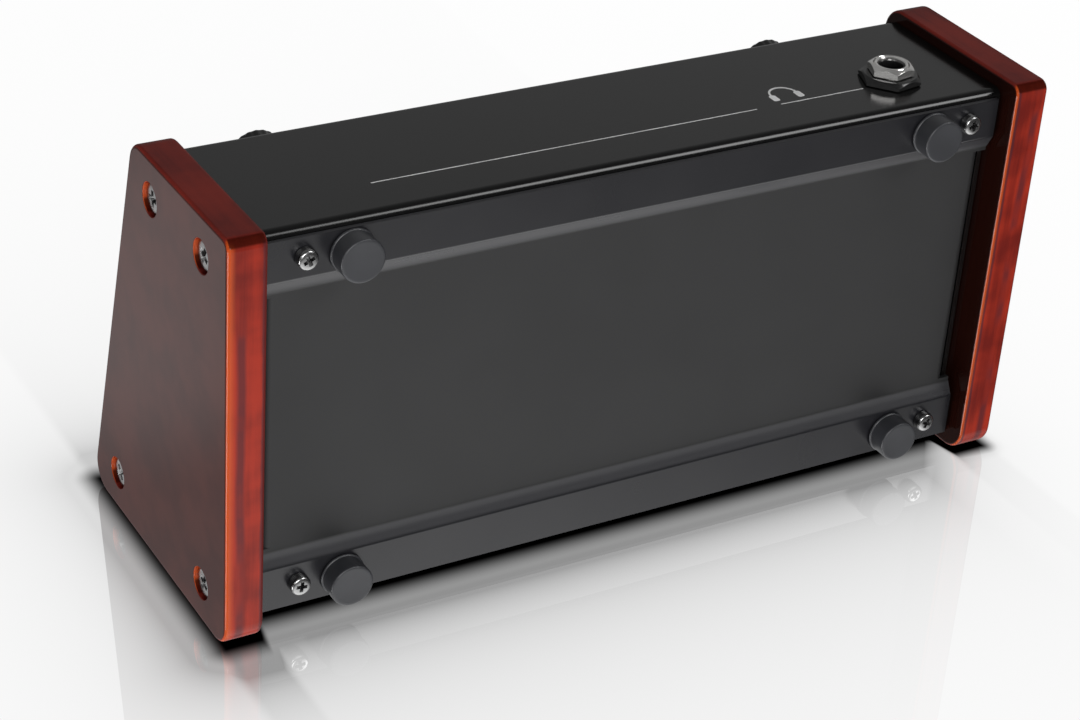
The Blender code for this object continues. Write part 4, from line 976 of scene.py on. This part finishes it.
def make_floor():
    """A pale gloss floor under the rear edges, with a shadow painted round the object, shown only to the camera and
    only from its lit side.
    """
    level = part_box("cheek_left")[1].y
    shape = bmesh.new()
    bmesh.ops.create_grid(shape, x_segments=1, y_segments=1, size=3)
    bmesh.ops.transform(shape, matrix=Matrix.Translation((0, level, 0)) @ Matrix.Rotation(math.pi / 2, 4, "X"),
                        verts=shape.verts)
    mesh = bpy.data.meshes.new("floor")
    shape.to_mesh(mesh)
    shape.free()
    floor = bpy.data.objects.new("floor", mesh)
    bpy.context.scene.collection.objects.link(floor)
    made = Finish("pale_floor", (0.9, 0.9, 0.9), 0.12)
    here = made.node("SeparateXYZ", {}, {0: made.place()})
    # Painted shadow: the floor darkens round the housing and cheeks, lighter out to the sides, and fades to white
    # further out; its mirror is darkened with it at the contact
    aside = (abs(here) - 0.119).above(0.0)
    cheek = made.between(abs(here), 0.1065, 0.1095)
    before = (abs(here.other("Z") - 0.0495 + 0.00375 * cheek) - 0.0375 - 0.00525 * cheek).above(0.0)
    reach = (aside * aside + before * before) ** 0.5
    shade = made.between(reach, 0.0, 0.0080)
    beside = made.between(aside, 0.0, 0.0040)
    spread = reach + 0.0035 * beside + 1.3 * (here - 0.095).above(0.0)
    near = (1.0 / (1.0 + (spread - 0.0135).above(0.0) / floor_shadow_fade)).above(1.0 - shade)
    white = made.node("Emission", {}, {"Color": (1, 1, 1, 1), "Strength": 1.0})
    strength = (floor_shadow_tone + floor_shadow_side_lift * beside) * shade
    tone = made.node("Emission", {}, {"Color": (1, 1, 1, 1), "Strength": strength})
    mirror = made.node("BsdfGlossy", {}, {"Color": made.mix(shade, (0.0, 0.0, 0.0), (floor_mirror,) * 3), "Roughness": 0.0})
    lit = made.node("MixShader", {}, {0: near, 1: white, 2: made.node("AddShader", {}, {0: tone, 1: mirror})})
    behind = made.node("NewGeometry", output="Backfacing")
    made.show(made.node("MixShader", {}, {0: behind, 1: lit, 2: made.node("BsdfTransparent")}))
    mesh.materials.append(made.material)
    for ray in ("diffuse", "glossy", "transmission", "volume_scatter", "shadow"):
        setattr(floor, "visible_" + ray, False)


def make_world():
    """White to the camera. For the object's light: a dim room, a bright floor side and two white cards."""
    world = bpy.data.worlds.new("studio")
    world.use_nodes = True
    bpy.context.scene.world = world
    made = Nodes(world.node_tree)
    way = made.node("TexCoord", output="Generated")
    parts = made.node("SeparateXYZ", {}, {0: way})
    light = (0.08 + 0.15 * made.between(parts.other("Z"), -0.5, 0.4) + 0.60 * made.between(parts.other("Y"), 0.45, 0.9))
    for aim, strength, core, rim in cards:
        towards = made.node("VectorMath", {"operation": "DOT_PRODUCT"}, {0: way, 1: Vector(aim).normalized()},
                            output="Value")
        light = light + strength * made.between(towards, math.cos(math.radians(rim)), math.cos(math.radians(core)))
    room = made.node("Background", {}, {"Color": (1, 1, 1, 1), "Strength": light})
    white = made.node("Background", {}, {"Color": (1, 1, 1, 1), "Strength": 1.0})
    path = made.node("LightPath", output="Is Camera Ray")
    seen = path.above(path.other("Is Singular Ray"))
    made.feed(made.tree.nodes["World Output"].inputs["Surface"],
              made.node("MixShader", {}, {0: seen, 1: room, 2: white}))


def lamp(name, place, target, size, power):
    """A square soft lamp, aimed at a point."""
    data = bpy.data.lights.new(name, "AREA")
    data.size = size
    data.energy = power
    made = bpy.data.objects.new(name, data)
    made.location = place
    made.rotation_euler = (Vector(target) - Vector(place)).to_track_quat("-Z", "Y").to_euler()
    bpy.context.scene.collection.objects.link(made)


def make_lamps():
    """One soft key lamp near the camera; the cards in the world do the rest."""
    lamp("key", (-0.36, -0.36, -1.08), (0, 0, 0.045), 0.5, 9.0)


dress_frame()
for end in ("left", "right"):
    make_cheek(end)
make_cover()
make_base_plate()
make_feet()
make_front_socket()
for name, diameter, height, flutes in (("trim", 0.0140, 0.0152, 20), ("volume", 0.0440, 0.0200, 24),
                                       ("phones", 0.0140, 0.0152, 20)):
    make_knob(name, diameter, height, flutes)
    make_pointer(name, diameter, 0.0008 + height)
make_buttons()
repeat_group = repeat_tree()
make_screws()
make_pins(make_outputs())
make_rear_sockets()
make_dials()
make_numbers()
make_front_print()
make_camera()
make_floor()
make_world()
make_lamps()

bpy.context.scene.view_settings.view_transform = "Standard"
